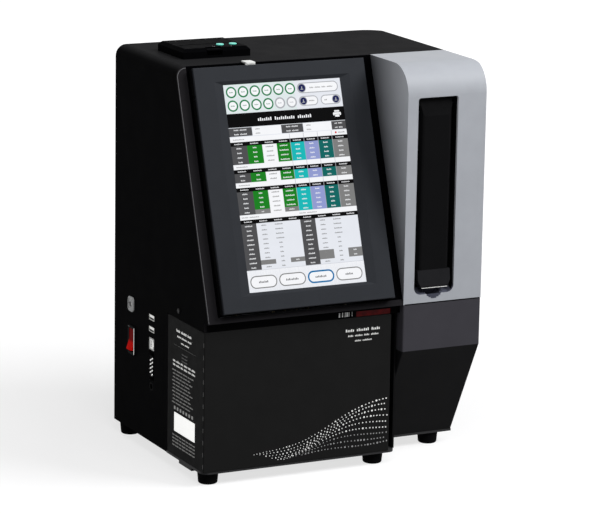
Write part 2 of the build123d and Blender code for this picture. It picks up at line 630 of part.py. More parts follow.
# Reagent pack: a box on the guides, with bags inside and a manifold at the back
PACK_SOLE = GUIDE_HEIGHT + FREE + PACK_WALL
MANIFOLD_X = (PORT_X - MANIFOLD_WIDTH / 2, PORT_X + MANIFOLD_WIDTH / 2)
MANIFOLD_Z = (PORT_Z - MANIFOLD_HEIGHT / 2, PORT_Z + MANIFOLD_HEIGHT / 2)
MANIFOLD_Y = (PACK_Y[1] - MANIFOLD_DEPTH, PACK_Y[1])
with BuildPart() as pack_case:
    block(PACK_X, PACK_Y, (FLOOR, FLOOR + PACK_HEIGHT))
    fillet(pack_case.edges(), PACK_EDGE)
    block((PACK_X[0] + PACK_WALL, PACK_X[1] - PACK_WALL), (PACK_Y[0] + PACK_WALL, PACK_Y[1] - PACK_WALL),
          (FLOOR + PACK_SOLE, FLOOR + PACK_HEIGHT - PACK_WALL), Mode.SUBTRACT)
    block(MANIFOLD_X, (PACK_Y[1] - PACK_WALL - 1, PACK_Y[1] + 1), MANIFOLD_Z, Mode.SUBTRACT)
    for span in GUIDE_SPANS:
        block((span[0] - FREE, span[1] + FREE), (PACK_FRONT + GUIDE_SET - FREE, PACK_Y[1] + 1),
              (FLOOR - 1, FLOOR + GUIDE_HEIGHT + FREE), Mode.SUBTRACT)
save(pack_case, "pack_case")

with BuildPart() as pack_manifold:
    block(MANIFOLD_X, MANIFOLD_Y, MANIFOLD_Z)
    fillet(pack_manifold.edges().group_by(Axis.Y)[0], 1.5)
    with BuildSketch(Plane.XZ.offset(-PACK_Y[1])):
        with Locations((PORT_X, PORT_Z)):
            with GridLocations(PORT_PITCH, 0, PORT_COUNT, 1):
                Circle(SPIGOT_RADIUS + SPIGOT_CLEAR)
    extrude(amount=SPIGOT_REACH + 1, mode=Mode.SUBTRACT)
save(pack_manifold, "pack_manifold")

BAG_SPACE = PACK_WIDTH - 2 * PACK_WALL - BAG_GAP * (BAG_COUNT + 1)
BAG_WIDTH = BAG_SPACE / BAG_COUNT
BAG_Y = (PACK_Y[0] + PACK_WALL + BAG_GAP, MANIFOLD_Y[0] - BAG_GAP)
BAG_Z = (FLOOR + PACK_SOLE, FLOOR + PACK_HEIGHT - PACK_WALL - BAG_HEADROOM)
with BuildPart() as reagent_bags:
    for number in range(BAG_COUNT):
        bag_left = PACK_X[0] + PACK_WALL + BAG_GAP + number * (BAG_WIDTH + BAG_GAP)
        block((bag_left, bag_left + BAG_WIDTH), BAG_Y, BAG_Z)
    fillet(reagent_bags.edges().filter_by(Axis.Z), BAG_WIDTH / 4)
    fillet(reagent_bags.edges().group_by(Axis.Z)[-1], BAG_WIDTH / 6)
save(reagent_bags, "reagent_bags")

# Front beam under the nose, with the barcode reader behind its red pane
SCAN_X = (TOWER_X - SCAN_INSET, TOWER_X - SCAN_INSET + SCAN_WIDTH)
SCAN_Z = (BAY_TOP, BAY_TOP + SCAN_HEIGHT)
with BuildPart() as front_beam:
    block((INNER_LEFT, TOWER_X), (BEAM, BEAM + SHEET), (BAY_TOP, NOSE_HEIGHT))
    block(SCAN_X, (BEAM - 1, BEAM + SHEET + 1), (SCAN_Z[0] - 1, SCAN_Z[1]), Mode.SUBTRACT)
save(front_beam, "front_beam")

with BuildPart() as scan_window:
    block(SCAN_X, (BEAM + SHEET - SCAN_PANE, BEAM + SHEET), SCAN_Z)
save(scan_window, "scan_window")

READER_X = sum(SCAN_X) / 2
with BuildPart() as barcode_reader:
    block((READER_X - READER_SIZE[0] / 2, READER_X + READER_SIZE[0] / 2),
          (BEAM + SHEET, BEAM + SHEET + READER_SIZE[1]), (SHELF_TOP, SHELF_TOP + READER_SIZE[2]))
    fillet(barcode_reader.edges().filter_by(Axis.Z), 2)
save(barcode_reader, "barcode_reader")

# Lower tower cover: upright band above a slope that runs in to the toe
BAND_LOW = NOSE_HEIGHT - BAND_HEIGHT
TOE_TURN = atan((TOE - NOSE) / (BAND_LOW - FLOOR))
TOE_SHIFT = TOWER_WALL / cos(TOE_TURN)
TOE_CORNER = BAND_LOW + (TOE_SHIFT - TOWER_WALL) / tan(TOE_TURN)
LOWER_OUTLINE = [
    (NOSE, NOSE_HEIGHT), (NOSE, BAND_LOW), (TOE, FLOOR), (BAY_REAR, FLOOR),
    (BAY_REAR, BAY_TOP), (BEAM, BAY_TOP), (BEAM, NOSE_HEIGHT),
]
LOWER_HOLLOW = [
    (NOSE + TOWER_WALL, NOSE_HEIGHT + 1), (NOSE + TOWER_WALL, TOE_CORNER),
    (TOE + TOE_SHIFT + tan(TOE_TURN), FLOOR - 1), (BAY_REAR + 1, FLOOR - 1),
    (BAY_REAR + 1, NOSE_HEIGHT + 1),
]
with BuildPart() as tower_lower:
    side_profile(LOWER_OUTLINE, (TOWER_X, RIGHT))
    front_edges = [
        edge for edge in tower_lower.edges()
        if edge.center().Y < TOE - 1 and abs(edge.tangent_at(0.5).Z) > 0.1
    ]
    fillet(front_edges, TOWER_EDGE)
    side_profile(LOWER_HOLLOW, (TOWER_X + TOWER_WALL, RIGHT - TOWER_WALL), Mode.SUBTRACT)
save(tower_lower, "tower_lower")

# Upper tower cover: a bent front that fills the wedge before the leaning wall
FLAP_X = sum(SLOT_X) / 2
WEDGE = [(NOSE, NOSE_HEIGHT), (NOSE, HEIGHT), (slope_y(HEIGHT), HEIGHT)]
WEDGE_HOLLOW = [
    (NOSE + TOWER_WALL, NOSE_HEIGHT - 1), (NOSE + TOWER_WALL, ROOF_IN),
    (slope_y(HEIGHT) + 1, ROOF_IN), (slope_y(HEIGHT) + 1, NOSE_HEIGHT - 1),
]
SILL = [
    (NOSE, RECESS_Z[0]), (NOSE, SLOT_LOW), (NOSE + TOWER_WALL, SLOT_LOW),
    (NOSE + TOWER_WALL + SILL_DEPTH, SLOT_LOW + SILL_RISE), (NOSE + TOWER_WALL + SILL_DEPTH, RECESS_Z[0]),
]

with BuildPart() as tower_hollow:
    side_profile(WEDGE_HOLLOW, (TOWER_X + TOWER_WALL, INNER_RIGHT))
    bend_edge = tower_hollow.edges().filter_by(Axis.X).group_by(Axis.Z)[-1].sort_by(Axis.Y)[0]
    fillet(bend_edge, TOWER_BEND - TOWER_WALL)
    add(inside_section.part, mode=Mode.INTERSECT)

with BuildPart() as tower_cover:
    side_profile(WEDGE, (TOWER_X, RIGHT))
    fillet(tower_cover.edges().filter_by(Axis.X).group_by(Axis.Z)[-1].sort_by(Axis.Y)[0], TOWER_BEND)
    add(outside_section.part, mode=Mode.INTERSECT)
    add(tower_hollow.part, mode=Mode.SUBTRACT)
    with BuildSketch(Plane.XZ.offset(-NOSE - TOWER_WALL)):
        with Locations((FLAP_X, SLOT_LOW + SLOT_HEIGHT / 2)):
            RectangleRounded(SLOT_WIDTH, SLOT_HEIGHT, SLOT_FOOT_ROUND)
        with Locations((FLAP_X, SLOT_TOP - SLOT_HEIGHT / 4)):
            RectangleRounded(SLOT_WIDTH, SLOT_HEIGHT / 2, SLOT_TOP_ROUND)
        with Locations((FLAP_X, SLOT_LOW + THUMB_RISE)):
            Circle(THUMB_RADIUS)
    extrude(amount=TOWER_WALL + 1, mode=Mode.SUBTRACT)
    side_profile(SILL, SLOT_X)
    thumb_plane = Plane(origin=(FLAP_X, NOSE - 1, SLOT_LOW + THUMB_RISE), x_dir=(1, 0, 0),
                        z_dir=(0, cos(radians(18)), sin(radians(18))))
    with BuildSketch(thumb_plane):
        Circle(THUMB_RADIUS)
    extrude(amount=SILL_DEPTH, mode=Mode.SUBTRACT)
save(tower_cover, "tower_cover")

# Sampler recess: a deep tray behind the slot
SILL_BACK = NOSE + TOWER_WALL + SILL_DEPTH
RECESS_FLOOR = SLOT_LOW + SILL_RISE
RECESS_BACK = RECESS_Y[1] - RECESS_WALL
FLAP_AXIS = (NOSE + FLAP_AXIS_BACK, SLOT_TOP - FLAP_AXIS_DROP)
PROBE_AXIS = (NOSE + PROBE_AXIS_BACK, SLOT_TOP - PROBE_AXIS_DROP)
with BuildPart() as sampler_recess:
    block(RECESS_X, RECESS_Y, RECESS_Z)
    block(SLOT_X, (NOSE, RECESS_BACK), (RECESS_FLOOR, RECESS_Z[1] - RECESS_WALL), Mode.SUBTRACT)
    block(SLOT_X, (NOSE, SILL_BACK), (RECESS_Z[0] - 1, RECESS_FLOOR + 1), Mode.SUBTRACT)
    block(SLOT_X, (SILL_BACK, RECESS_BACK), (RECESS_Z[0] - 1, RECESS_FLOOR - RECESS_WALL), Mode.SUBTRACT)
    for axis_point in (FLAP_AXIS, PROBE_AXIS):
        cross_pin(axis_point, PIN_RADIUS + RUNNING, (RECESS_X[0] - 1, RECESS_X[1] + 1), Mode.SUBTRACT)
    add(tower_cover.part, mode=Mode.SUBTRACT)
save(sampler_recess, "sampler_recess")

# Sampler flap: a bevelled plate on a cross pin at its top, with a finger lip at the foot
FLAP_SPAN = (SLOT_X[0] + FLAP_SIDE_GAP, SLOT_X[1] - FLAP_SIDE_GAP)
FLAP_FRONT = NOSE + FLAP_SET_BACK
FLAP_BACK = FLAP_FRONT + FLAP_THICK
FLAP_LOW = SLOT_LOW + LIP_LOW
FLAP_TOP = SLOT_TOP - FLAP_TOP_GAP
LIP_TOP = FLAP_LOW + LIP_HEIGHT
LIP = [
    (FLAP_FRONT, LIP_TOP), (FLAP_FRONT - LIP_PROUD, FLAP_LOW + 2.5),
    (FLAP_FRONT - LIP_PROUD + 1, FLAP_LOW), (FLAP_BACK, FLAP_LOW), (FLAP_BACK, LIP_TOP),
]
BOSS_HALF = 4.0
with BuildPart() as sampler_flap:
    with BuildSketch(Plane.XZ.offset(-FLAP_BACK)):
        with Locations((FLAP_X, (FLAP_LOW + FLAP_TOP) / 2)):
            Rectangle(FLAP_SPAN[1] - FLAP_SPAN[0], FLAP_TOP - FLAP_LOW)
    with BuildSketch(Plane.XZ.offset(-FLAP_FRONT)):
        with Locations((FLAP_X, (LIP_TOP + FLAP_TOP - FLAP_BEVEL_TOP) / 2)):
            Rectangle(FLAP_SPAN[1] - FLAP_SPAN[0] - 2 * FLAP_BEVEL_SIDE, FLAP_TOP - FLAP_BEVEL_TOP - LIP_TOP)
    loft()
    fillet(sampler_flap.faces().sort_by(Axis.Y)[0].edges(), FLAP_ROUND)
    side_profile(LIP, (FLAP_X - LIP_WIDTH / 2, FLAP_X + LIP_WIDTH / 2))
    for edge_x, inward in ((FLAP_SPAN[0], 1), (FLAP_SPAN[1], -1)):
        with BuildSketch(Plane.XZ.offset(-FLAP_BACK)):
            with BuildLine():
                Polyline((edge_x, FLAP_LOW), (edge_x + inward * LIP_CORNER[0], FLAP_LOW),
                         (edge_x, FLAP_LOW + LIP_CORNER[1]), close=True)
            make_face()
        extrude(amount=FLAP_THICK + LIP_PROUD + 1, mode=Mode.SUBTRACT)
    block((FLAP_X - LIP_WIDTH / 2 + 4, FLAP_X + LIP_WIDTH / 2 - 4), (FLAP_FRONT + FLAP_SKIN, FLAP_BACK + 1),
          (LIP_TOP, FLAP_TOP - FLAP_BEVEL_TOP - 4), Mode.SUBTRACT)
    block(FLAP_SPAN, (FLAP_BACK - 1, FLAP_AXIS[0] + BOSS_HALF / 2),
          (FLAP_AXIS[1] - BOSS_HALF, FLAP_AXIS[1] + BOSS_HALF / 2))
    cross_pin(FLAP_AXIS, BOSS_HALF - 1, FLAP_SPAN)
    cross_pin(FLAP_AXIS, PIN_RADIUS, RECESS_X)
save(sampler_flap, "sampler_flap")

# Sample probe: a block with its own cross pin, which carries the needle
PROBE_SPAN = (FLAP_X - PROBE_BLOCK[0] / 2, FLAP_X + PROBE_BLOCK[0] / 2)
PROBE_LOW = PROBE_AXIS[1] + BOSS_HALF * 2 - PROBE_BLOCK[2]
NEEDLE_TIP = PROBE_AXIS[1] - NEEDLE_LENGTH
with BuildPart() as probe_holder:
    block(PROBE_SPAN, (PROBE_AXIS[0] - PROBE_BLOCK[1] / 2, PROBE_AXIS[0] + PROBE_BLOCK[1] / 2),
          (PROBE_LOW, PROBE_AXIS[1] + BOSS_HALF * 2))
    fillet(probe_holder.edges().filter_by(Axis.X).group_by(Axis.Z)[-1], PROBE_BLOCK[1] / 3)
    chamfer(probe_holder.edges().group_by(Axis.Z)[0], 2)
    cross_pin(PROBE_AXIS, PIN_RADIUS, RECESS_X)
save(probe_holder, "probe_holder")

with BuildPart() as sample_needle:
    post((FLAP_X, PROBE_AXIS[0]), NEEDLE_RADIUS, (NEEDLE_TIP, PROBE_LOW))
save(sample_needle, "sample_needle")

# Wash well under the needle
with BuildPart() as wash_well:
    post((FLAP_X, PROBE_AXIS[0]), WELL_RADIUS, (RECESS_FLOOR, RECESS_FLOOR + WELL_HEIGHT))
    with BuildSketch(Plane.XY.offset(RECESS_FLOOR + WELL_HEIGHT)):
        with Locations((FLAP_X, PROBE_AXIS[0])):
            Circle(WELL_RADIUS - 2)
    extrude(amount=-WELL_HEIGHT + 2, taper=14, mode=Mode.SUBTRACT)
save(wash_well, "wash_well")

# Tower divider: the sheet between the measuring bay and the tower
DIVIDER = [
    (slope_y(ROOF_IN, -COVER_WALL), ROOF_IN), (UPRIGHT, ROOF_IN), (UPRIGHT, FLOOR),
    (BAY_REAR, FLOOR), (BAY_REAR, BAY_TOP), (NOSE_SHELF, BAY_TOP),
    (NOSE_SHELF, NOSE_HEIGHT + COVER_WALL),
    (slope_y(NOSE_HEIGHT + COVER_WALL, -COVER_WALL), NOSE_HEIGHT + COVER_WALL),
]
with BuildPart() as tower_divider:
    side_profile(DIVIDER, (TOWER_X, TOWER_X + SHEET))
save(tower_divider, "tower_divider")

# Bay panel: the leaning sheet that carries the measuring parts
BAY_BACK = -BAY_DEPTH
MOTOR_FACE = BAY_BACK - SHEET
PANEL_LINE = [
    (slope_y(SHELF_TOP, BAY_BACK), SHELF_TOP), (slope_y(SHELF_TOP, MOTOR_FACE), SHELF_TOP),
    (slope_y(ROOF_IN, MOTOR_FACE), ROOF_IN), (slope_y(ROOF_IN, BAY_BACK), ROOF_IN),
]
PUMP_X = [LEFT + across for across in PUMP_ACROSS]
with BuildPart() as bay_panel:
    side_profile(PANEL_LINE, (INNER_LEFT, TOWER_X))
    add(inside_section.part, mode=Mode.INTERSECT)
    for across in PUMP_X:
        stub((across, PUMP_UP), SHAFT_RADIUS + FREE, (MOTOR_FACE - 1, BAY_BACK + 1), Mode.SUBTRACT)
save(bay_panel, "bay_panel")

# Measuring block: a heated tray for the cells, with a post for the clamp
BLOCK_U = (BLOCK_UP, BLOCK_UP + BLOCK_HEIGHT)
BLOCK_FACE = BAY_BACK + BLOCK_DEPTH
CELLS_X = (LEFT + CELLS_LEFT, LEFT + CELLS_LEFT + CELL_COUNT * CELL_PITCH)
CLAMP_X = CELLS_X[1] + CLAMP_RADIUS
BLOCK_X = (CELLS_X[0] - BLOCK_WALL, CLAMP_X + CLAMP_RADIUS + BLOCK_WALL)
CLAMP_U = BLOCK_U[0] + BLOCK_HEIGHT / 2
POST_RADIUS = CLAMP_RADIUS / 3
with BuildPart() as measuring_block:
    slab(BLOCK_X, BLOCK_U, (BAY_BACK, BLOCK_FACE), round_by=4)
    slab((CELLS_X[0], BLOCK_X[1] - BLOCK_WALL), (BLOCK_U[0] + BLOCK_WALL, BLOCK_U[1] + 1),
         (BAY_BACK + BLOCK_WALL, BLOCK_FACE + 1), Mode.SUBTRACT)
    stub((CLAMP_X, CLAMP_U), POST_RADIUS, (BAY_BACK + BLOCK_WALL, BLOCK_FACE))
save(measuring_block, "measuring_block")

with BuildPart() as sensor_cells:
    for number in range(CELL_COUNT):
        cell_x = CELLS_X[0] + number * CELL_PITCH
        slab((cell_x, cell_x + CELL_PITCH - CELL_GAP), (BLOCK_U[0] + BLOCK_WALL, BLOCK_U[1]),
             (BAY_BACK + BLOCK_WALL, BAY_BACK + BLOCK_WALL + CELL_DEPTH))
        cap_plane = Plane(
            origin=SLOPE.from_local_coords(Vector(cell_x + CELL_PITCH / 2, BLOCK_U[1],
                                                  BAY_BACK + BLOCK_WALL + CELL_DEPTH / 2)),
            x_dir=(1, 0, 0), z_dir=SLOPE.y_dir)
        with BuildSketch(cap_plane):
            Circle(CELL_CAP_RADIUS)
        extrude(amount=CELL_CAP_LENGTH)
save(sensor_cells, "sensor_cells")

# Cell clamp: an off-centre disc with an arm, on the block's post
with BuildPart() as cell_clamp:
    stub((CLAMP_X - CLAMP_THROW + FREE, CLAMP_U), CLAMP_RADIUS - CLAMP_THROW,
         (BAY_BACK + BLOCK_WALL + FREE, BLOCK_FACE + FREE + CLAMP_THICK))
    slab((CLAMP_X - CLAMP_ARM_WIDTH / 2, CLAMP_X + CLAMP_ARM_WIDTH / 2),
         (CLAMP_U - CLAMP_ARM_WIDTH / 2, CLAMP_U + CLAMP_ARM),
         (BLOCK_FACE + FREE, BLOCK_FACE + FREE + CLAMP_THICK), round_by=CLAMP_ARM_WIDTH * 0.45)
    stub((CLAMP_X, CLAMP_U), POST_RADIUS + RUNNING, (BAY_BACK, BLOCK_FACE + FREE), Mode.SUBTRACT)
save(cell_clamp, "cell_clamp")

# Peristaltic pumps: cup, squeezed tube, three-roller rotor and the motor behind the panel
TUBE_ORBIT = PUMP_RADIUS - PUMP_WALL - TUBE_RADIUS
TUBE_OUT = BAY_BACK + PUMP_DEPTH / 2 + 1
LEG_FOOT = (SHELF_TOP - NOSE_HEIGHT - TUBE_OUT * TILT_SIN) / TILT_COS + TUBE_RADIUS
CUP_OPEN = (BAY_BACK + SHEET, BAY_BACK + PUMP_DEPTH + 1)
with BuildPart() as pump_cups:
    for across in PUMP_X:
        stub((across, PUMP_UP), PUMP_RADIUS, (BAY_BACK, BAY_BACK + PUMP_DEPTH))
        stub((across, PUMP_UP), PUMP_RADIUS - PUMP_WALL, CUP_OPEN, Mode.SUBTRACT)
        stub((across, PUMP_UP), SHAFT_RADIUS + FREE, (BAY_BACK - 1, BAY_BACK + SHEET + 1), Mode.SUBTRACT)
        slab((across - TUBE_ORBIT - TUBE_RADIUS, across + TUBE_ORBIT + TUBE_RADIUS),
             (PUMP_UP - PUMP_RADIUS - 1, PUMP_UP - PUMP_RADIUS / 2), CUP_OPEN, Mode.SUBTRACT)
        for side in (-1, 1):
            leg_x = across + side * TUBE_ORBIT
            slab((leg_x - TUBE_RADIUS, leg_x + TUBE_RADIUS), (PUMP_UP - PUMP_RADIUS, PUMP_UP), CUP_OPEN,
                 Mode.SUBTRACT)
save(pump_cups, "pump_cups")


def pump_tube(across):
    """A tube over the rotor, with its two legs run down to the shelf."""
    plane = SLOPE.offset(TUBE_OUT)
    left, right = across - TUBE_ORBIT, across + TUBE_ORBIT
    with BuildLine(plane) as route:
        Line((left, LEG_FOOT), (left, PUMP_UP))
        ThreePointArc((left, PUMP_UP), (across, PUMP_UP + TUBE_ORBIT), (right, PUMP_UP))
        Line((right, PUMP_UP), (right, LEG_FOOT))
    tube_start = plane.from_local_coords(Vector(left, LEG_FOOT, 0))
    with BuildSketch(Plane(origin=tube_start, x_dir=(1, 0, 0), z_dir=SLOPE.y_dir)) as section:
        Circle(TUBE_RADIUS)
    sweep(section.sketch, path=route.wires()[0])


with BuildPart() as pump_tubes:
    for across in PUMP_X:
        pump_tube(across)
save(pump_tubes, "pump_tubes")

ROTOR_OUT = (BAY_BACK + SHEET + 1, BAY_BACK + PUMP_DEPTH - 1)


def pump_rotor(across):
    """Two plates with rollers between them on a shaft that reaches the motor."""
    for low in (ROTOR_OUT[0], ROTOR_OUT[1] - ROTOR_THICK):
        stub((across, PUMP_UP), ORBIT_RADIUS + ROLLER_RADIUS * 0.7, (low, low + ROTOR_THICK))
    with BuildSketch(SLOPE.offset(ROTOR_OUT[0] + ROTOR_THICK)) as rollers:
        with Locations((across, PUMP_UP)):
            with PolarLocations(ORBIT_RADIUS, ROLLER_COUNT, start_angle=90):
                Circle(ROLLER_RADIUS)
    extrude(rollers.sketch, amount=ROTOR_OUT[1] - ROTOR_OUT[0] - 2 * ROTOR_THICK)
    stub((across, PUMP_UP), SHAFT_RADIUS, (MOTOR_FACE - SHAFT_LENGTH + 1, ROTOR_OUT[1] + 2))


with BuildPart() as pump_rotor_left:
    pump_rotor(PUMP_X[0])
save(pump_rotor_left, "pump_rotor_left")
with BuildPart() as pump_rotor_right:
    pump_rotor(PUMP_X[1])
save(pump_rotor_right, "pump_rotor_right")

with BuildPart() as pump_motors:
    for across in PUMP_X:
        stub((across, PUMP_UP), MOTOR_RADIUS, (MOTOR_FACE - MOTOR_LENGTH, MOTOR_FACE))
        stub((across, PUMP_UP), SHAFT_RADIUS + RUNNING, (MOTOR_FACE - SHAFT_LENGTH, MOTOR_FACE),
             Mode.SUBTRACT)
save(pump_motors, "pump_motors")

# Selector valve with three feed lines up to the measuring block
VALVE_X = LEFT + sum(PUMP_ACROSS) / 2
VALVE_U = (VALVE_UP, VALVE_UP + VALVE_HEIGHT)
with BuildPart() as selector_valve:
    slab((VALVE_X - VALVE_WIDTH / 2, VALVE_X + VALVE_WIDTH / 2), VALVE_U, (BAY_BACK, BAY_BACK + VALVE_DEPTH),
         round_by=3)
    with BuildSketch(SLOPE.offset(BAY_BACK + VALVE_DEPTH)):
        with Locations((VALVE_X, sum(VALVE_U) / 2)):
            Circle(VALVE_HEIGHT / 3)
    extrude(amount=3, taper=20)
save(selector_valve, "selector_valve")

LINK_OUT = BAY_BACK + VALVE_DEPTH / 2
LINK_FOOT = (SHELF_TOP - NOSE_HEIGHT - LINK_OUT * TILT_SIN) / TILT_COS + LINK_RADIUS


def link_line(across, up_span):
    """A straight thin tube up the slope, at the links' depth."""
    start = SLOPE.from_local_coords(Vector(across, up_span[0], LINK_OUT))
    with BuildSketch(Plane(origin=start, x_dir=(1, 0, 0), z_dir=SLOPE.y_dir)) as section:
        Circle(LINK_RADIUS)
    extrude(section.sketch, amount=up_span[1] - up_span[0])


with BuildPart() as link_tubes:
    for step in (-1, 0, 1):
        link_line(VALVE_X + step * VALVE_WIDTH / 4, (VALVE_U[1], BLOCK_U[0]))
    for side in (-1, 1):
        link_line(VALVE_X + side * VALVE_WIDTH / 6, (LINK_FOOT, VALVE_U[0]))
save(link_tubes, "link_tubes")

# Display door: bezel, glass and panel in front of a tray that hangs on two ears
SCREEN_X = (DOOR_X[0] + SCREEN_LEFT, DOOR_X[0] + SCREEN_LEFT + SCREEN_WIDTH)
SCREEN_UP = (DOOR_UP[0] + SCREEN_LOW, DOOR_UP[0] + SCREEN_LOW + SCREEN_HEIGHT)
SCREEN_MIDDLE = ((SCREEN_X[0] + SCREEN_X[1]) / 2, (SCREEN_UP[0] + SCREEN_UP[1]) / 2)
BEZEL_BACK = DOOR_PROUD - BEZEL_PLATE
GLASS_BACK = BEZEL_BACK - GLASS_THICK
PANEL_BACK = GLASS_BACK - PANEL_THICK
TRAY_FLOOR = -DOOR_INSIDE + DOOR_FLOOR


def grown(span, border):
    """A pair of limits moved apart by a border."""
    return (span[0] - border, span[1] + border)


with BuildPart() as display_bezel:
    slab(DOOR_X, DOOR_UP, (BEZEL_BACK, DOOR_PROUD))
    fillet(display_bezel.faces().sort_by(OUTWARD)[-1].edges(), BEZEL_EDGE)
    with BuildSketch(SLOPE.offset(DOOR_PROUD)):
        with Locations(SCREEN_MIDDLE):
            Rectangle(SCREEN_WIDTH + 2 * BEVEL_SIDE, SCREEN_HEIGHT + 2 * BEVEL_END)
    with BuildSketch(SLOPE.offset(DOOR_PROUD - BEVEL_DEPTH)):
        with Locations(SCREEN_MIDDLE):
            Rectangle(SCREEN_WIDTH, SCREEN_HEIGHT)
    loft(mode=Mode.SUBTRACT)
    slab(SCREEN_X, SCREEN_UP, (BEZEL_BACK - 1, DOOR_PROUD), Mode.SUBTRACT)
save(display_bezel, "display_bezel")

with BuildPart() as display_glass:
    slab(grown(SCREEN_X, GLASS_BORDER), grown(SCREEN_UP, GLASS_BORDER), (GLASS_BACK, BEZEL_BACK))
save(display_glass, "display_glass")

with BuildPart() as lcd_panel:
    slab(grown(SCREEN_X, PANEL_BORDER), grown(SCREEN_UP, PANEL_BORDER), (PANEL_BACK, GLASS_BACK))
save(lcd_panel, "lcd_panel")

HINGE_X = DOOR_X[0] + KNUCKLE_IN
HINGE_UPS = [DOOR_UP[0] + KNUCKLE_LOW, DOOR_UP[1] - KNUCKLE_HIGH]
TRAY_X = grown(DOOR_X, -TRAY_INSET)
TRAY_UP = grown(DOOR_UP, -TRAY_INSET)
EAR_SLOT = KNUCKLE_THICK / 2 + DOOR_GAP / 3
with BuildPart() as display_back:
    slab(TRAY_X, TRAY_UP, (-DOOR_INSIDE, BEZEL_BACK))
    slab(grown(TRAY_X, -DOOR_WALL), grown(TRAY_UP, -DOOR_WALL), (TRAY_FLOOR, BEZEL_BACK + 1), Mode.SUBTRACT)
    slab(grown(SCREEN_X, PANEL_BORDER), grown(SCREEN_UP, PANEL_BORDER), (TRAY_FLOOR, PANEL_BACK))
    slab(grown(SCREEN_X, PANEL_BORDER - DOOR_WALL), grown(SCREEN_UP, PANEL_BORDER - DOOR_WALL),
         (TRAY_FLOOR, PANEL_BACK + 1), Mode.SUBTRACT)
    for hinge_up in HINGE_UPS:
        slab((TRAY_X[0], HINGE_X + KNUCKLE_RADIUS * 2.5), grown((hinge_up, hinge_up), DOOR_PIN_LENGTH / 2),
             (KNUCKLE_OUT - KNUCKLE_RADIUS * 2.5, BEZEL_BACK))
        slab((TRAY_X[0] - 1, HINGE_X + KNUCKLE_RADIUS + FREE), grown((hinge_up, hinge_up), EAR_SLOT),
             (-DOOR_INSIDE - 1, BEZEL_BACK), Mode.SUBTRACT)
        pin_plane = Plane(origin=SLOPE.from_local_coords(Vector(HINGE_X, hinge_up - DOOR_PIN_LENGTH / 2,
                                                                KNUCKLE_OUT)),
                          x_dir=(1, 0, 0), z_dir=SLOPE.y_dir)
        with BuildSketch(pin_plane):
            Circle(DOOR_PIN_RADIUS)
        extrude(amount=DOOR_PIN_LENGTH, mode=Mode.SUBTRACT)
save(display_back, "display_back")

with BuildPart() as door_hinge_pins:
    for hinge_up in HINGE_UPS:
        pin_plane = Plane(origin=SLOPE.from_local_coords(Vector(HINGE_X, hinge_up - DOOR_PIN_LENGTH / 2,
                                                                KNUCKLE_OUT)),
                          x_dir=(1, 0, 0), z_dir=SLOPE.y_dir)
        with BuildSketch(pin_plane):
            Circle(DOOR_PIN_RADIUS)
        extrude(amount=DOOR_PIN_LENGTH)
save(door_hinge_pins, "door_hinge_pins")

with BuildPart() as door_hinge_ears:
    for hinge_up in HINGE_UPS:
        ear_plane = Plane(origin=SLOPE.from_local_coords(Vector(0, hinge_up - KNUCKLE_THICK / 2, 0)),
                          x_dir=(1, 0, 0), z_dir=SLOPE.y_dir)
        with BuildSketch(ear_plane):
            with Locations((HINGE_X, -KNUCKLE_OUT)):
                Circle(KNUCKLE_RADIUS)
            with Locations((HINGE_X, (EAR_BACK - KNUCKLE_OUT) / 2)):
                Rectangle(KNUCKLE_RADIUS * 2, EAR_BACK + KNUCKLE_OUT)
            with Locations(((INNER_LEFT + HINGE_X) / 2, EAR_BACK - EAR_FOOT / 2)):
                Rectangle(HINGE_X - INNER_LEFT, EAR_FOOT)
            with Locations((HINGE_X, -KNUCKLE_OUT)):
                Circle(DOOR_PIN_RADIUS + RUNNING, mode=Mode.SUBTRACT)
        extrude(amount=KNUCKLE_THICK)
save(door_hinge_ears, "door_hinge_ears")

# Touch board on four bosses in the tray, behind the panel
BOARD_UP = (SCREEN_MIDDLE[1] - TOUCH_BOARD[1] / 2, SCREEN_MIDDLE[1] + TOUCH_BOARD[1] / 2)
BOARD_X = (SCREEN_MIDDLE[0] - TOUCH_BOARD[0] / 2, SCREEN_MIDDLE[0] + TOUCH_BOARD[0] / 2)
with BuildPart() as touch_board:
    slab(BOARD_X, BOARD_UP, (TRAY_FLOOR + BOSS_RISE, TRAY_FLOOR + BOSS_RISE + BOARD_THICK))
    slab(grown(BOARD_X, -TOUCH_BOARD[0] / 3), grown(BOARD_UP, -TOUCH_BOARD[1] / 3),
         (TRAY_FLOOR + BOSS_RISE + BOARD_THICK, TRAY_FLOOR + BOSS_RISE + 2 * BOARD_THICK))
    for across in grown(BOARD_X, -2 * BOSS_RISE):
        for up in grown(BOARD_UP, -2 * BOSS_RISE):
            stub((across, up), BOSS_RISE, (TRAY_FLOOR, TRAY_FLOOR + BOSS_RISE))
save(touch_board, "touch_board")

# Door tab: a pull tab on the bezel's top end, over the roof's front edge
ROOF_CLEAR = HEIGHT + FREE + 0.1
TAB_Y = (slope_y(HEIGHT) - TAB_REACH, slope_y(HEIGHT) - TAB_REACH + TAB_DEPTH)
TAB_FOOT = [slope_point(DOOR_UP[1], DOOR_PROUD - BEZEL_EDGE), slope_point(DOOR_UP[1], BEZEL_BACK)]
with BuildPart() as door_tab:
    block((LEFT + TAB_LEFT, LEFT + TAB_LEFT + TAB_WIDTH), TAB_Y, (ROOF_CLEAR, ROOF_CLEAR + TAB_THICK))
    fillet(door_tab.edges().filter_by(Axis.Z), TAB_THICK)
    side_profile([TAB_FOOT[0], TAB_FOOT[1], (TAB_FOOT[1][0], ROOF_CLEAR + TAB_THICK / 2),
                  (TAB_FOOT[0][0], ROOF_CLEAR + TAB_THICK / 2)],
                 (LEFT + TAB_LEFT, LEFT + TAB_LEFT + TAB_WIDTH))
save(door_tab, "door_tab")

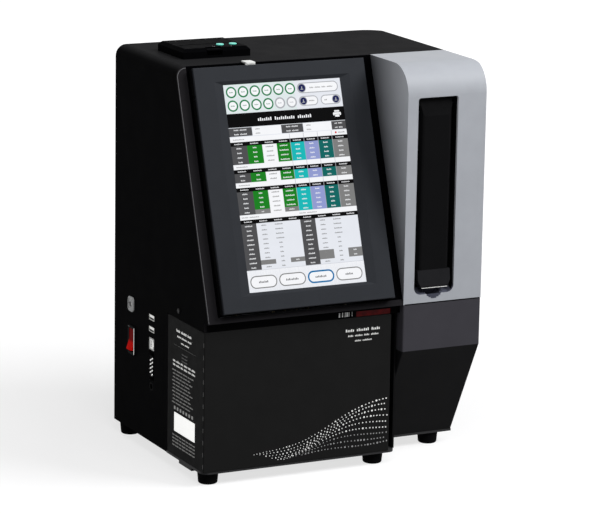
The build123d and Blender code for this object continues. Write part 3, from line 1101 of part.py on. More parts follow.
# Main board on standoffs in front of the upright, and the sockets that it carries
BOARD_Y = (SOCKET_Y + BOARD_SET, SOCKET_Y + BOARD_SET + BOARD_THICK)
BOARD_SPAN = (INNER_LEFT + 1, LEFT + BOARD_WIDTH)
CHIP_X = (LEFT + BOARD_WIDTH * 0.5, LEFT + BOARD_WIDTH * 0.8)
with BuildPart() as main_board:
    block(BOARD_SPAN, BOARD_Y, (BOARD_LOW, BOARD_HIGH))
    block(CHIP_X, (BOARD_Y[0] - CHIP_THICK, BOARD_Y[0]), grown((USB_HEIGHTS[0], USB_HEIGHTS[0]), CHIP_HALF))
    block(CHIP_X, (BOARD_Y[0] - CHIP_THICK, BOARD_Y[0]), grown((SERIAL_HEIGHT, SERIAL_HEIGHT), CHIP_HALF))
    for across in grown(BOARD_SPAN, -2 * STANDOFF_RADIUS):
        for height in (BOARD_LOW + 2 * STANDOFF_RADIUS, BOARD_HIGH - 2 * STANDOFF_RADIUS):
            depth_bar((across, height), STANDOFF_RADIUS, (BOARD_Y[1], UPRIGHT))
save(main_board, "main_board")

with BuildPart() as usb_ports:
    for height in USB_HEIGHTS:
        shell_z = socket_span(height, USB_SIZE[2], 0)
        block((LEFT, LEFT + USB_SIZE[0]), socket_span(SOCKET_Y, USB_SIZE[1], 0), shell_z)
        block((LEFT - 1, LEFT + USB_SIZE[0] - SOCKET_WALL), socket_span(SOCKET_Y, USB_SIZE[1], -SOCKET_SKIN),
              grown(shell_z, -SOCKET_SKIN), Mode.SUBTRACT)
        block((LEFT + 1, LEFT + USB_SIZE[0] - SOCKET_WALL), socket_span(SOCKET_Y, USB_SIZE[1], -SOCKET_WALL),
              (height + SOCKET_SKIN / 2, height + USB_SIZE[2] / 3))
        block((BOARD_SPAN[0], LEFT + USB_SIZE[0]), (SOCKET_Y + USB_SIZE[1] / 2, BOARD_Y[0]), shell_z)
save(usb_ports, "usb_ports")

LAN_Z = socket_span(LAN_HEIGHT, LAN_SIZE[2], 0)
LAN_MOUTH_Z = socket_span(LAN_HEIGHT, LAN_MOUTH[2], 0)
LAN_KEY = (LAN_MOUTH[1] / 2, LAN_MOUTH[1] / 2 + LAN_NOTCH)
with BuildPart() as lan_port:
    block((LEFT, LEFT + LAN_SIZE[0]), socket_span(SOCKET_Y, LAN_SIZE[1], 0), LAN_Z)
    block((LEFT - 1, LEFT + LAN_MOUTH[0]), socket_span(SOCKET_Y, LAN_MOUTH[1], 0), LAN_MOUTH_Z, Mode.SUBTRACT)
    block((LEFT - 1, LEFT + LAN_MOUTH[0]), (SOCKET_Y - LAN_KEY[1], SOCKET_Y - LAN_KEY[0]),
          grown(LAN_MOUTH_Z, -LAN_MOUTH[2] / 4), Mode.SUBTRACT)
    block((BOARD_SPAN[0], LEFT + LAN_SIZE[0]), (SOCKET_Y + LAN_SIZE[1] / 2, BOARD_Y[0]), LAN_Z)
save(lan_port, "lan_port")

# Serial socket: a flange with a D-shaped face and nine contact holes
SERIAL_X = LEFT + SERIAL_SET
with BuildPart() as serial_port:
    block((SERIAL_X, SERIAL_X + 1), socket_span(SOCKET_Y, SERIAL_SIZE[1], 0),
          socket_span(SERIAL_HEIGHT, SERIAL_SIZE[2], 0))
    block((SERIAL_X + 1, SERIAL_X + SERIAL_SIZE[0] / 2), socket_span(SOCKET_Y, SERIAL_SIZE[1], -1),
          grown((SERIAL_HEIGHT, SERIAL_HEIGHT), D_LENGTH / 3))
    block((SERIAL_X + 1, SERIAL_X + SERIAL_SIZE[0] / 2), (SOCKET_Y, BOARD_Y[0]),
          grown((SERIAL_HEIGHT, SERIAL_HEIGHT), D_LENGTH / 3))
    with BuildSketch(Plane.YZ.offset(SERIAL_X)):
        with Locations((SOCKET_Y, SERIAL_HEIGHT)):
            Trapezoid(D_LENGTH, D_HEIGHT, 80, rotation=90)
    extrude(amount=-SERIAL_SET)
    for column, count in ((-1, 5), (1, 4)):
        with BuildSketch(Plane.YZ.offset(LEFT)):
            with Locations((SOCKET_Y + column * D_HEIGHT / 4, SERIAL_HEIGHT)):
                with GridLocations(0, PIN_PITCH, 1, count):
                    Circle(SOCKET_SKIN)
        extrude(amount=SERIAL_SET / 2, mode=Mode.SUBTRACT)
save(serial_port, "serial_port")

with BuildPart() as aux_jack:
    cross_pin((SOCKET_Y, JACK_HEIGHT), JACK_RADIUS, (LEFT, LEFT + JACK_LENGTH))
    block((BOARD_SPAN[0], LEFT + JACK_LENGTH), (SOCKET_Y, BOARD_Y[0]),
          grown((JACK_HEIGHT, JACK_HEIGHT), JACK_BORE))
    cross_pin((SOCKET_Y, JACK_HEIGHT), JACK_BORE, (LEFT - 1, LEFT + JACK_LENGTH - SOCKET_WALL), Mode.SUBTRACT)
save(aux_jack, "aux_jack")

# Power inlet: a rounded flange outside and a nut inside
INLET_AXIS = (INLET_Y, INLET_HEIGHT)
with BuildPart() as dc_inlet:
    with BuildSketch(Plane.YZ.offset(LEFT)):
        with Locations(INLET_AXIS):
            RectangleRounded(*INLET_FLANGE, INLET_ROUND)
    extrude(amount=-INLET_PROUD)
    fillet(dc_inlet.edges().group_by(Axis.X)[0], SOCKET_SKIN)
    cross_pin(INLET_AXIS, INLET_NECK, (LEFT, LEFT + INLET_LENGTH))
    with BuildSketch(Plane.YZ.offset(INNER_LEFT)):
        with Locations(INLET_AXIS):
            RegularPolygon(INLET_NUT, 6)
    extrude(amount=COVER_WALL)
    cross_pin(INLET_AXIS, INLET_BORE, (LEFT - INLET_PROUD - 1, LEFT - INLET_PROUD + INLET_DEPTH),
              Mode.SUBTRACT)
save(dc_inlet, "dc_inlet")

# Power switch: a frame through the wall and a rocker on trunnions in its pocket
POCKET_Y = socket_span(SWITCH_Y, SWITCH_BODY[0], -SWITCH_WALL)
ROCKER_AXIS = (LEFT + ROCKER_AXIS_IN, SWITCH_HEIGHT)
with BuildPart() as switch_frame:
    block((LEFT - SWITCH_PROUD, LEFT), socket_span(SWITCH_Y, SWITCH_FLANGE[0], 0),
          socket_span(SWITCH_HEIGHT, SWITCH_FLANGE[1], 0))
    fillet(switch_frame.edges().filter_by(Axis.X), SWITCH_WALL)
    chamfer(switch_frame.edges().group_by(Axis.X)[0], SWITCH_PROUD / 4)
    block((LEFT, LEFT + SWITCH_DEPTH), socket_span(SWITCH_Y, SWITCH_BODY[0], 0),
          socket_span(SWITCH_HEIGHT, SWITCH_BODY[1], 0))
    block((LEFT - SWITCH_PROUD - 1, LEFT + SWITCH_DEPTH - 3 * SWITCH_WALL), POCKET_Y,
          socket_span(SWITCH_HEIGHT, SWITCH_BODY[1], -SWITCH_WALL), Mode.SUBTRACT)
    depth_bar(ROCKER_AXIS, PIN_RADIUS + RUNNING, grown(POCKET_Y, SWITCH_WALL / 2), Mode.SUBTRACT)
save(switch_frame, "switch_frame")

ROCKER_VALLEY = ROCKER_TIP - ROCKER_HALF * tan(radians(ROCKER_TURN))
rocker_plane = Plane(origin=(ROCKER_AXIS[0], POCKET_Y[1] - FREE, ROCKER_AXIS[1]),
                     x_dir=(cos(radians(ROCKER_TURN)), 0, -sin(radians(ROCKER_TURN))), z_dir=(0, -1, 0))
with BuildPart() as power_rocker:
    with BuildSketch(rocker_plane):
        with BuildLine():
            Polyline((-ROCKER_TIP, -ROCKER_HALF), (-ROCKER_VALLEY, 0), (-ROCKER_TIP, ROCKER_HALF),
                     (-PIN_RADIUS, ROCKER_HALF), (2 * PIN_RADIUS, ROCKER_HALF / 2),
                     (2 * PIN_RADIUS, -ROCKER_HALF / 2), (-PIN_RADIUS, -ROCKER_HALF), close=True)
        make_face()
    extrude(amount=POCKET_Y[1] - POCKET_Y[0] - 2 * FREE)
    depth_bar(ROCKER_AXIS, PIN_RADIUS, grown(POCKET_Y, SWITCH_WALL / 2 - RUNNING))
save(power_rocker, "power_rocker")

# Printer frame: a bevelled deck on the roof with a bucket for the paper roll
DECK = HEIGHT + PRINTER_PROUD
POCKET_X = grown(BUCKET_X, -PRINTER_WALL)
PAPER_Y = grown(BUCKET_Y, -PRINTER_WALL)
BUTTON_Y = PACK_FRONT + BUTTON_BACK
LEVER_X = (LEFT + LEVER_LEFT, LEFT + LEVER_LEFT + LEVER_WIDTH)
LEVER_AXIS = (PRINTER_Y[0] + LEVER_IN, DECK - LEVER_SINK)
LID_AXIS = (PAPER_Y[1] - FREE - LID_KNUCKLE, DECK - LID_KNUCKLE)
with BuildPart() as printer_frame:
    block(PRINTER_X, PRINTER_Y, (HEIGHT, DECK))
    chamfer(printer_frame.edges().group_by(Axis.Z)[-1], PRINTER_CHAMFER)
    block(BUCKET_X, BUCKET_Y, (ROLL_AXIS[1], HEIGHT))
    cross_pin(ROLL_AXIS, ROLL_RADIUS + FREE + PRINTER_WALL, BUCKET_X)
    block(POCKET_X, PAPER_Y, (ROLL_AXIS[1], DECK + 1), Mode.SUBTRACT)
    cross_pin(ROLL_AXIS, ROLL_RADIUS + FREE, POCKET_X, Mode.SUBTRACT)
    for across in BUTTON_LEFTS:
        post((LEFT + across, BUTTON_Y), BUTTON_RADIUS + FREE,
             (DECK - BUTTON_SINK - BUTTON_TRAVEL - FREE, DECK + 1), Mode.SUBTRACT)
    block(grown(LEVER_X, FREE), (PRINTER_Y[0] - 1, LEVER_AXIS[0] + 2 * LEVER_BOSS),
          (LEVER_AXIS[1] - LEVER_BOSS - FREE, DECK + 1), Mode.SUBTRACT)
    cross_pin(LEVER_AXIS, DOOR_PIN_RADIUS + RUNNING, grown(LEVER_X, LEVER_BOSS + FREE), Mode.SUBTRACT)
    cross_pin(LID_AXIS, DOOR_PIN_RADIUS + RUNNING, grown(POCKET_X, PRINTER_WALL / 2), Mode.SUBTRACT)
save(printer_frame, "printer_frame")

ROLL_SPAN = (sum(POCKET_X) / 2 - ROLL_WIDTH / 2, sum(POCKET_X) / 2 + ROLL_WIDTH / 2)
with BuildPart() as print_head:
    block(ROLL_SPAN, (PAPER_Y[0], PAPER_Y[0] + HEAD_THICK), (HEIGHT - HEAD_DROP, DECK - PRINTER_CHAMFER))
    chamfer(print_head.edges().filter_by(Axis.X).group_by(Axis.Z)[-1].sort_by(Axis.Y)[-1], HEAD_THICK / 2)
save(print_head, "print_head")

# Printer lid: a plate on a knuckle, with two cheeks that hold the platen roller
LID_X = grown(POCKET_X, -FREE)
LID_Y = (PAPER_Y[0] + PAPER_SLOT, LID_AXIS[0])
PLATEN_AXIS = (PAPER_Y[0] + HEAD_THICK + 2 * FREE + PLATEN_RADIUS, DECK - LID_THICK - FREE - PLATEN_RADIUS)
with BuildPart() as printer_lid:
    block(LID_X, LID_Y, (DECK - LID_THICK, DECK))
    cross_pin(LID_AXIS, LID_KNUCKLE, LID_X)
    cross_pin(LID_AXIS, DOOR_PIN_RADIUS, grown(POCKET_X, PRINTER_WALL / 2 - RUNNING))
    for cheek in ((LID_X[0], LID_X[0] + LID_THICK), (LID_X[1] - LID_THICK, LID_X[1])):
        block(cheek, (LID_Y[0], PLATEN_AXIS[0] + PLATEN_RADIUS),
              (PLATEN_AXIS[1] - PLATEN_RADIUS, DECK - LID_THICK))
        cross_pin(PLATEN_AXIS, SHAFT_RADIUS / 2 + RUNNING, grown(cheek, 1), Mode.SUBTRACT)
save(printer_lid, "printer_lid")

with BuildPart() as platen_roller:
    cross_pin(PLATEN_AXIS, PLATEN_RADIUS, grown(LID_X, -LID_THICK - FREE))
    cross_pin(PLATEN_AXIS, SHAFT_RADIUS / 2, LID_X)
save(platen_roller, "platen_roller")

with BuildPart() as paper_roll:
    cross_pin(ROLL_AXIS, ROLL_RADIUS, ROLL_SPAN)
    cross_pin(ROLL_AXIS, ROLL_CORE, grown(ROLL_SPAN, 1), Mode.SUBTRACT)
save(paper_roll, "paper_roll")

for label, across in zip(("feed_button", "status_button"), BUTTON_LEFTS):
    with BuildPart() as printer_button:
        post((LEFT + across, BUTTON_Y), BUTTON_RADIUS, (DECK - BUTTON_SINK, DECK + BUTTON_PROUD))
        fillet(printer_button.edges().group_by(Axis.Z)[-1], BUTTON_PROUD / 3)
    save(printer_button, label)

# Release lever in the notch at the printer's front bevel
LEVER_ARM = [
    (LEVER_AXIS[0] - LEVER_BOSS, LEVER_AXIS[1]), (PRINTER_Y[0] - LEVER_LIP, DECK - LEVER_LIP_DROP),
    (PRINTER_Y[0], DECK - LEVER_LIP_DROP + LEVER_LIP), (LEVER_AXIS[0], DECK - LEVER_LIP),
    (LEVER_AXIS[0] + LEVER_BOSS, LEVER_AXIS[1]),
]
with BuildPart() as release_lever:
    side_profile(LEVER_ARM, LEVER_X)
    cross_pin(LEVER_AXIS, LEVER_BOSS, LEVER_X)
    cross_pin(LEVER_AXIS, DOOR_PIN_RADIUS, grown(LEVER_X, LEVER_BOSS))
save(release_lever, "release_lever")

# Fan on the rear panel's inner face
FAN_Y = (PANEL_Y[0] - FAN_DEPTH, PANEL_Y[0])
FAN_PLACE = (FAN_X, FAN_HEIGHT)
HUB_MOUNT = (FAN_Y[1] - FAN_ARM, FAN_Y[1])
with BuildPart() as fan_frame:
    block(grown((FAN_X, FAN_X), FAN_SIZE / 2), FAN_Y, grown((FAN_HEIGHT, FAN_HEIGHT), FAN_SIZE / 2))
    fillet(fan_frame.edges().filter_by(Axis.Y), FAN_ARM)
    depth_bar(FAN_PLACE, FAN_BORE, (FAN_Y[0] - 1, FAN_Y[1] + 1), Mode.SUBTRACT)
    depth_bar(FAN_PLACE, HUB_RADIUS, HUB_MOUNT)
    with BuildSketch(Plane.XZ.offset(-HUB_MOUNT[1])):
        with Locations(FAN_PLACE):
            with PolarLocations(FAN_BORE / 2, 3, start_angle=90):
                Rectangle(FAN_BORE + 2, FAN_ARM)
    extrude(amount=FAN_ARM)
    depth_bar(FAN_PLACE, AXLE_RADIUS, (FAN_Y[0] + FAN_ARM, HUB_MOUNT[0]))
    with BuildSketch(Plane.XZ.offset(-FAN_Y[1])):
        with Locations(FAN_PLACE):
            with GridLocations(FAN_SCREW_PITCH, FAN_SCREW_PITCH, 2, 2):
                Circle(SCREW_SHANK)
    extrude(amount=FAN_DEPTH, mode=Mode.SUBTRACT)
save(fan_frame, "fan_frame")

ROTOR_Y = (FAN_Y[0] + 1, HUB_MOUNT[0] - 2 * FREE)
BLADE_LENGTH = FAN_BORE - 1 - HUB_RADIUS / 2
blade_plane = Plane(origin=(FAN_X, sum(ROTOR_Y) / 2, FAN_HEIGHT), x_dir=(1, 0, 0), z_dir=(0, 0, 1))
with BuildPart() as fan_blade:
    with BuildSketch(blade_plane.offset(HUB_RADIUS / 2)):
        Rectangle(BLADE_THICK, ROTOR_Y[1] - ROTOR_Y[0], rotation=BLADE_PITCH)
    extrude(amount=BLADE_LENGTH)
    depth_bar(FAN_PLACE, FAN_BORE - 1, ROTOR_Y, Mode.INTERSECT)
with BuildPart() as fan_rotor:
    depth_bar(FAN_PLACE, HUB_RADIUS, ROTOR_Y)
    for number in range(BLADE_COUNT):
        add(fan_blade.part.rotate(Axis((FAN_X, 0, FAN_HEIGHT), (0, 1, 0)), number * 360 / BLADE_COUNT))
    depth_bar(FAN_PLACE, AXLE_RADIUS + RUNNING, (ROTOR_Y[0] + BLADE_THICK, ROTOR_Y[1] + 1), Mode.SUBTRACT)
save(fan_rotor, "fan_rotor")

# Screws: one in the cover's left side and four that hold the fan
with BuildPart() as case_screws:
    cross_pin(SIDE_SCREW, SCREW_HEAD, (LEFT - SCREW_RAISE, LEFT))
    fillet(case_screws.edges().group_by(Axis.X)[0], SCREW_RAISE / 2)
    cross_pin(SIDE_SCREW, SCREW_SHANK, (LEFT, LEFT + SCREW_LENGTH))
    for across in (-1, 1):
        for rise in (-1, 1):
            screw_place = (FAN_X + across * FAN_SCREW_PITCH / 2, FAN_HEIGHT + rise * FAN_SCREW_PITCH / 2)
            depth_bar(screw_place, SCREW_HEAD, (PANEL_Y[1], PANEL_Y[1] + SCREW_RAISE))
            depth_bar(screw_place, SCREW_SHANK, (PANEL_Y[1] - SCREW_LENGTH, PANEL_Y[1]))
save(case_screws, "case_screws")
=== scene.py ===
"""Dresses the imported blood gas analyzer: finishes, screen image, printing and studio."""

import logging
import math
import random
from dataclasses import dataclass
from enum import Enum

import bmesh
import bpy
from mathutils import Matrix, Vector


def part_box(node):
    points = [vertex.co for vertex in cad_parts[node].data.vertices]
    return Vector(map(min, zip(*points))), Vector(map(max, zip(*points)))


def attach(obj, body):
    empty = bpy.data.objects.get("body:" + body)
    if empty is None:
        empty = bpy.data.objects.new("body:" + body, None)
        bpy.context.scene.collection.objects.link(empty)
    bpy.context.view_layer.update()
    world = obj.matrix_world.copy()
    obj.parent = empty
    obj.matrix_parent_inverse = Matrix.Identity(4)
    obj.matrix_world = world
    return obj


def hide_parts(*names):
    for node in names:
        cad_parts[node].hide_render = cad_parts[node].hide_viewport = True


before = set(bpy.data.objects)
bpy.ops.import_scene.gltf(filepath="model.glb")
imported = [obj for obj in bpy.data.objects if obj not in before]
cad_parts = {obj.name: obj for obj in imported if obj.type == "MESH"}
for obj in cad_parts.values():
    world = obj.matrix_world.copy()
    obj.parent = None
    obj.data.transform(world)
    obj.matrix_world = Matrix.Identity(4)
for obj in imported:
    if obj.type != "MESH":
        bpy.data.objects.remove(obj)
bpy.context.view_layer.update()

Colour = tuple[int, int, int]
Span = tuple[float, float]
Triple = tuple[float, float, float]
Socket = bpy.types.NodeSocket

log = logging.getLogger("analyzer")
MM = 0.001
FULL = 255.0  # a display colour's highest value
NOISE_RANGE = (0.3, 0.7)  # where most of a noise's values lie
NO_WAY = (0.0, 0.0, 0.0)
TILT = math.radians(19.1)  # how far the front leans back
NOSE_Y, NOSE_Z = -117.631, 175.998  # the foot of the leaning front, in millimetres
FRONT_WAY = (0.0, -0.946, 0.326)  # straight out of the leaning front
WORD_GAP = 0.9  # the room between two words, as a share of their height
WORD_SWING = 0.18  # by how much words are longer and shorter in turn
STROKE_PITCH = 0.72  # the pitch of a word's strokes, as a share of their height
STROKE_FILL = 0.6
STROKE_HEIGHTS = (1.0, 0.7, 0.76, 0.7, 0.94)
COVER_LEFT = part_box("main_cover")[0].x / MM
LEFT, PACK_FRONT, FLOOR = (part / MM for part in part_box("pack_case")[0])


def linear(colour: Colour) -> tuple[float, float, float, float]:
    """Turn a display colour into the linear values that shaders read.

    Args:
        colour: red, green and blue from 0 to 255.

    Returns:
        Linear red, green, blue and a full alpha.
    """
    shares = [part / FULL for part in colour]
    return tuple(s / 12.92 if s <= 0.04045 else ((s + 0.055) / 1.055) ** 2.4 for s in shares) + (1.0,)


class Grain(Enum):
    """The fine relief that a surface carries."""

    SMOOTH = "smooth"
    MOULDED = "moulded"
    BRUSHED = "brushed"
    CARD = "card"
    WOUND = "wound"


class NodeSheet:
    """A material's node tree, cleared and ready for its own nodes."""

    def __init__(self, owner: bpy.types.Material | bpy.types.World) -> None:
        """Empty the tree of a new material or world.

        Args:
            owner: what the tree belongs to.
        """
        self.owner = owner
        owner.use_nodes = True
        self.tree = owner.node_tree
        self.tree.nodes.clear()

    def add(self, kind: str, values: dict | None = None, **settings: object) -> bpy.types.Node:
        """Add a node and fill in its sockets.

        Args:
            kind: the node's type.
            values: what goes on its sockets, by name or number; a socket is linked.
            **settings: the node's own properties.

        Returns:
            The new node.
        """
        node = self.tree.nodes.new(kind)
        for key, value in settings.items():
            setattr(node, key, value)
        for key, value in (values or {}).items():
            if isinstance(value, Socket):
                self.tree.links.new(value, node.inputs[key])
            else:
                node.inputs[key].default_value = value
        return node

    def place(self, stretch: Triple = (1.0, 1.0, 1.0)) -> Socket:
        """Give the object's own coordinates, counted in millimetres.

        Args:
            stretch: how much the pattern is squeezed along each axis.

        Returns:
            The vector.
        """
        values = {"Vector": self.add("ShaderNodeTexCoord").outputs["Object"],
                  "Scale": tuple(part / MM for part in stretch)}
        return self.add("ShaderNodeMapping", values).outputs[0]

    def noise(self, where: Socket, size: float, detail: float = 3.0) -> Socket:
        """Add a noise whose features have a size in millimetres.

        Args:
            where: the vector that it reads.
            size: the size of a feature.
            detail: how many finer layers it has.

        Returns:
            Its value.
        """
        values = {"Vector": where, "Scale": 1.0 / size, "Detail": detail}
        return self.add("ShaderNodeTexNoise", values).outputs[0]

    def ramp(self, value: Socket, start: float, end: float, low: float = 0.0, high: float = 1.0) -> Socket:
        """Map a value's range onto two limits, and hold it at them.

        Args:
            value: the value.
            start: where the range starts.
            end: where it ends.
            low: the result at its start.
            high: the result at its end.

        Returns:
            The mapped value.
        """
        values = {"Value": value, "From Min": start, "From Max": end, "To Min": low, "To Max": high}
        return self.add("ShaderNodeMapRange", values).outputs[0]

    def uneven(self, size: float, low: float, high: float) -> Socket:
        """Give a value that wanders between two limits over the surface.

        Args:
            size: the size of a patch, in millimetres.
            low: the lower limit.
            high: the upper limit.

        Returns:
            The value.
        """
        return self.ramp(self.noise(self.place(), size), *NOISE_RANGE, low, high)

    def blend(self, share: Socket, first: object, second: object) -> Socket:
        """Mix two colours.

        Args:
            share: how much of the second one shows.
            first: the first colour.
            second: the second colour.

        Returns:
            The mixed colour.
        """
        return self.add("ShaderNodeMix", {0: share, 6: first, 7: second}, data_type="RGBA").outputs[2]

    def shade(self, colour: Colour, size: float, swing: float) -> Socket:
        """Give a colour whose strength wanders over the surface.

        Args:
            colour: the display colour in the middle.
            size: the size of a patch, in millimetres.
            swing: the share by which it gets darker and lighter.

        Returns:
            The varied colour.
        """
        dark, light = ((*(min(part * share, 1.0) for part in linear(colour)[:3]), 1.0)
                       for share in (1.0 - swing, 1.0 + swing))
        return self.blend(self.uneven(size, 0.0, 1.0), dark, light)

    def math(self, operation: str, first: object, second: object) -> Socket:
        """Reckon with two numbers.

        Args:
            operation: what is done.
            first: the first number.
            second: the second number.

        Returns:
            The result.
        """
        return self.add("ShaderNodeMath", {0: first, 1: second}, operation=operation).outputs[0]

    def vector(self, operation: str, first: object, second: object = NO_WAY, out: str = "Vector") -> Socket:
        """Reckon with two vectors.

        Args:
            operation: what is done.
            first: the first vector.
            second: the second vector.
            out: the output that holds the result.

        Returns:
            The result.
        """
        return self.add("ShaderNodeVectorMath", {0: first, 1: second}, operation=operation).outputs[out]

    def parts(self, vector: Socket) -> bpy.types.bpy_prop_collection:
        """Take a vector apart.

        Args:
            vector: the vector.

        Returns:
            Its three parts.
        """
        return self.add("ShaderNodeSeparateXYZ", {0: vector}).outputs

    def relief(self, height: Socket, depth: float, strength: float) -> Socket:
        """Turn a height into a bumped normal.

        Args:
            height: the height pattern.
            depth: its depth in millimetres.
            strength: how much of it shows.

        Returns:
            The normal.
        """
        values = {"Height": height, "Distance": depth * MM, "Strength": strength}
        return self.add("ShaderNodeBump", values).outputs[0]

    def close(self, values: dict) -> bpy.types.Material:
        """Finish the material with one principled surface.

        Args:
            values: what goes on the shader's sockets.

        Returns:
            The finished material.
        """
        shader = self.add("ShaderNodeBsdfPrincipled", values)
        self.add("ShaderNodeOutputMaterial", {"Surface": shader.outputs[0]})
        return self.owner


@dataclass(frozen=True)
class Finish:
    """A surface as a maker would name it: colour, shine, grain and unevenness, sized in millimetres."""

    name: str
    colour: Colour
    roughness: float = 0.5
    specular: float = 0.5
    metallic: float = 0.0
    grain: Grain = Grain.MOULDED
    fine: float = 0.45  # the grain's size
    deep: float = 0.03  # the grain's depth
    felt: float = 0.6  # how much of the grain shows
    mottle: float = 0.06  # by how much the colour wanders
    patch: float = 22.0  # the size of a patch of colour
    rub: float = 0.06  # by how much the roughness wanders
    rub_patch: float = 0.4  # the size of its patches, as a share of the colour's

    def made(self) -> bpy.types.Material:
        """Give the material, and make it the first time.

        Returns:
            The material, named apart from the slots that come with model.glb.
        """
        title = f"{self.name}_finish"
        known = bpy.data.materials.get(title)
        if known:
            return known
        sheet = NodeSheet(bpy.data.materials.new(title))
        return sheet.close(self.surface(sheet))

    def height(self, sheet: NodeSheet) -> Socket:
        """Give the fine height pattern of this finish's grain.

        Args:
            sheet: the material's nodes.

        Returns:
            The height.
        """
        stretches = {Grain.BRUSHED: (0.04, 1.0, 1.0), Grain.WOUND: (2.5, 0.12, 0.12)}
        grain = sheet.noise(sheet.place(stretches.get(self.grain, (1.0, 1.0, 1.0))), self.fine, 2.0)
        if self.grain is not Grain.MOULDED:
            return grain
        cells = sheet.add("ShaderNodeTexVoronoi", {"Vector": sheet.place(), "Scale": 0.6 / self.fine})
        return sheet.math("ADD", grain, cells.outputs[0])

    def shade(self, sheet: NodeSheet, colour: Colour) -> Socket:
        """Let a colour wander as this finish does.

        Args:
            sheet: the material's nodes.
            colour: the display colour.

        Returns:
            The varied colour.
        """
        return sheet.shade(colour, self.patch, self.mottle)

    def tint(self, sheet: NodeSheet) -> Socket:
        """Give the colour over the whole surface.

        Args:
            sheet: the material's nodes.

        Returns:
            The colour.
        """
        return self.shade(sheet, self.colour)

    def surface(self, sheet: NodeSheet) -> dict:
        """Give what goes on the shader's sockets.

        Args:
            sheet: the material's nodes.

        Returns:
            The values by socket name.
        """
        limits = (self.roughness - self.rub, self.roughness + self.rub)
        values = {"Base Color": self.tint(sheet), "Metallic": self.metallic,
                  "Roughness": sheet.uneven(self.patch * self.rub_patch, *limits),
                  "Specular IOR Level": self.specular}
        if self.grain is not Grain.SMOOTH:
            values["Normal"] = sheet.relief(self.height(sheet), self.deep, self.felt)
        return values


@dataclass(frozen=True)
class Lit(Finish):
    """A surface that gives its own light, such as a lamp or a part of the screen image, or a label or print
    given a painted glow.
    """

    glow: float = 0.9
    body: float = 0.08

    def surface(self, sheet: NodeSheet) -> dict:
        """Give the values of a lit surface.

        Args:
            sheet: the material's nodes.

        Returns:
            The values by socket name.
        """
        tint = self.tint(sheet)
        return {"Base Color": sheet.vector("MULTIPLY", tint, (self.body,) * 3),
                "Roughness": sheet.uneven(self.patch, self.roughness, self.roughness + self.rub),
                "Specular IOR Level": self.specular, "Emission Color": tint, "Emission Strength": self.glow}


@dataclass(frozen=True)
class Clear(Finish):
    """A see-through moulding, film or tube with slight haze."""

    felt: float = 0.3
    passing: float = 0.8
    ior: float = 1.45

    def surface(self, sheet: NodeSheet) -> dict:
        """Give the values of a see-through surface.

        Args:
            sheet: the material's nodes.

        Returns:
            The values by socket name.
        """
        return {"Base Color": self.tint(sheet),
                "Roughness": sheet.uneven(self.patch, self.roughness, self.roughness + self.rub),
                "Transmission Weight": self.passing, "IOR": self.ior,
                "Normal": sheet.relief(self.height(sheet), self.deep, self.felt)}


@dataclass(frozen=True)
class PaintedLightAtCrease(Finish):
    """A surface in one colour above a crease and another below it, painted lighter or darker there to stand
    in for how its faces are lit.
    """

    rub_patch: float = 1.0
    lower: Colour = (24, 24, 25)
    crease: float = 125.0
    soft: float = 0.4

    def tint(self, sheet: NodeSheet) -> Socket:
        """Blend the two colours at the crease.

        Args:
            sheet: the material's nodes.

        Returns:
            The colour.
        """
        share = sheet.ramp(sheet.parts(sheet.place())[2], self.crease - self.soft, self.crease + self.soft)
        return sheet.blend(share, self.shade(sheet, self.lower), self.shade(sheet, self.colour))


@dataclass(frozen=True)
class PaintedLightTone:
    """A painted light or shade: a colour for the faces that look one way, or for those inside a box, standing
    in for how light falls there.
    """

    colour: Colour
    towards: Triple = NO_WAY
    turn: Span = (0.6, 0.9)  # how nearly a face looks that way when the tone starts and is full
    ramp: Span = (0.0, 0.0)  # where it starts and is full, out of the leaning front
    low: Triple = NO_WAY
    high: Triple = NO_WAY

    def share(self, sheet: NodeSheet) -> Socket:
        """Give 1 where this tone holds and 0 elsewhere.

        Args:
            sheet: the material's nodes.

        Returns:
            The share.
        """
        if any(self.towards):
            normal = sheet.add("ShaderNodeTexCoord").outputs["Normal"]
            turned = sheet.ramp(sheet.vector("DOT_PRODUCT", normal, self.towards, "Value"), *self.turn)
            if not any(self.ramp):
                return turned
            out = sheet.vector("DOT_PRODUCT", sheet.place(), FRONT_WAY, "Value")
            return sheet.math("MULTIPLY", turned, sheet.ramp(out, *self.ramp))
        low, high = Vector(self.low), Vector(self.high)
        moved = sheet.vector("SUBTRACT", sheet.place(), (low + high) / 2)
        x, y, z = sheet.parts(sheet.vector("ABSOLUTE", sheet.vector("DIVIDE", moved, (high - low) / 2)))
        return sheet.math("LESS_THAN", sheet.math("MAXIMUM", sheet.math("MAXIMUM", x, y), z), 1.0)


@dataclass(frozen=True)
class PaintedLightFinish(Finish):
    """A surface with painted light and shade on some of its faces."""

    rub_patch: float = 1.0
    light_tones: tuple[PaintedLightTone, ...] = ()

    def tint(self, sheet: NodeSheet) -> Socket:
        """Lay the painted light and shade over the colour, one after another.

        Args:
            sheet: the material's nodes.

        Returns:
            The colour.
        """
        tint = self.shade(sheet, self.colour)
        for tone in self.light_tones:
            tint = sheet.blend(tone.share(sheet), tint, self.shade(sheet, tone.colour))
        return tint


FORWARDS, UPWARDS, LEFTWARDS = (0.0, -1.0, 0.0), (0.0, 0.0, 1.0), (-1.0, 0.0, 0.0)
CARD = Grain.CARD
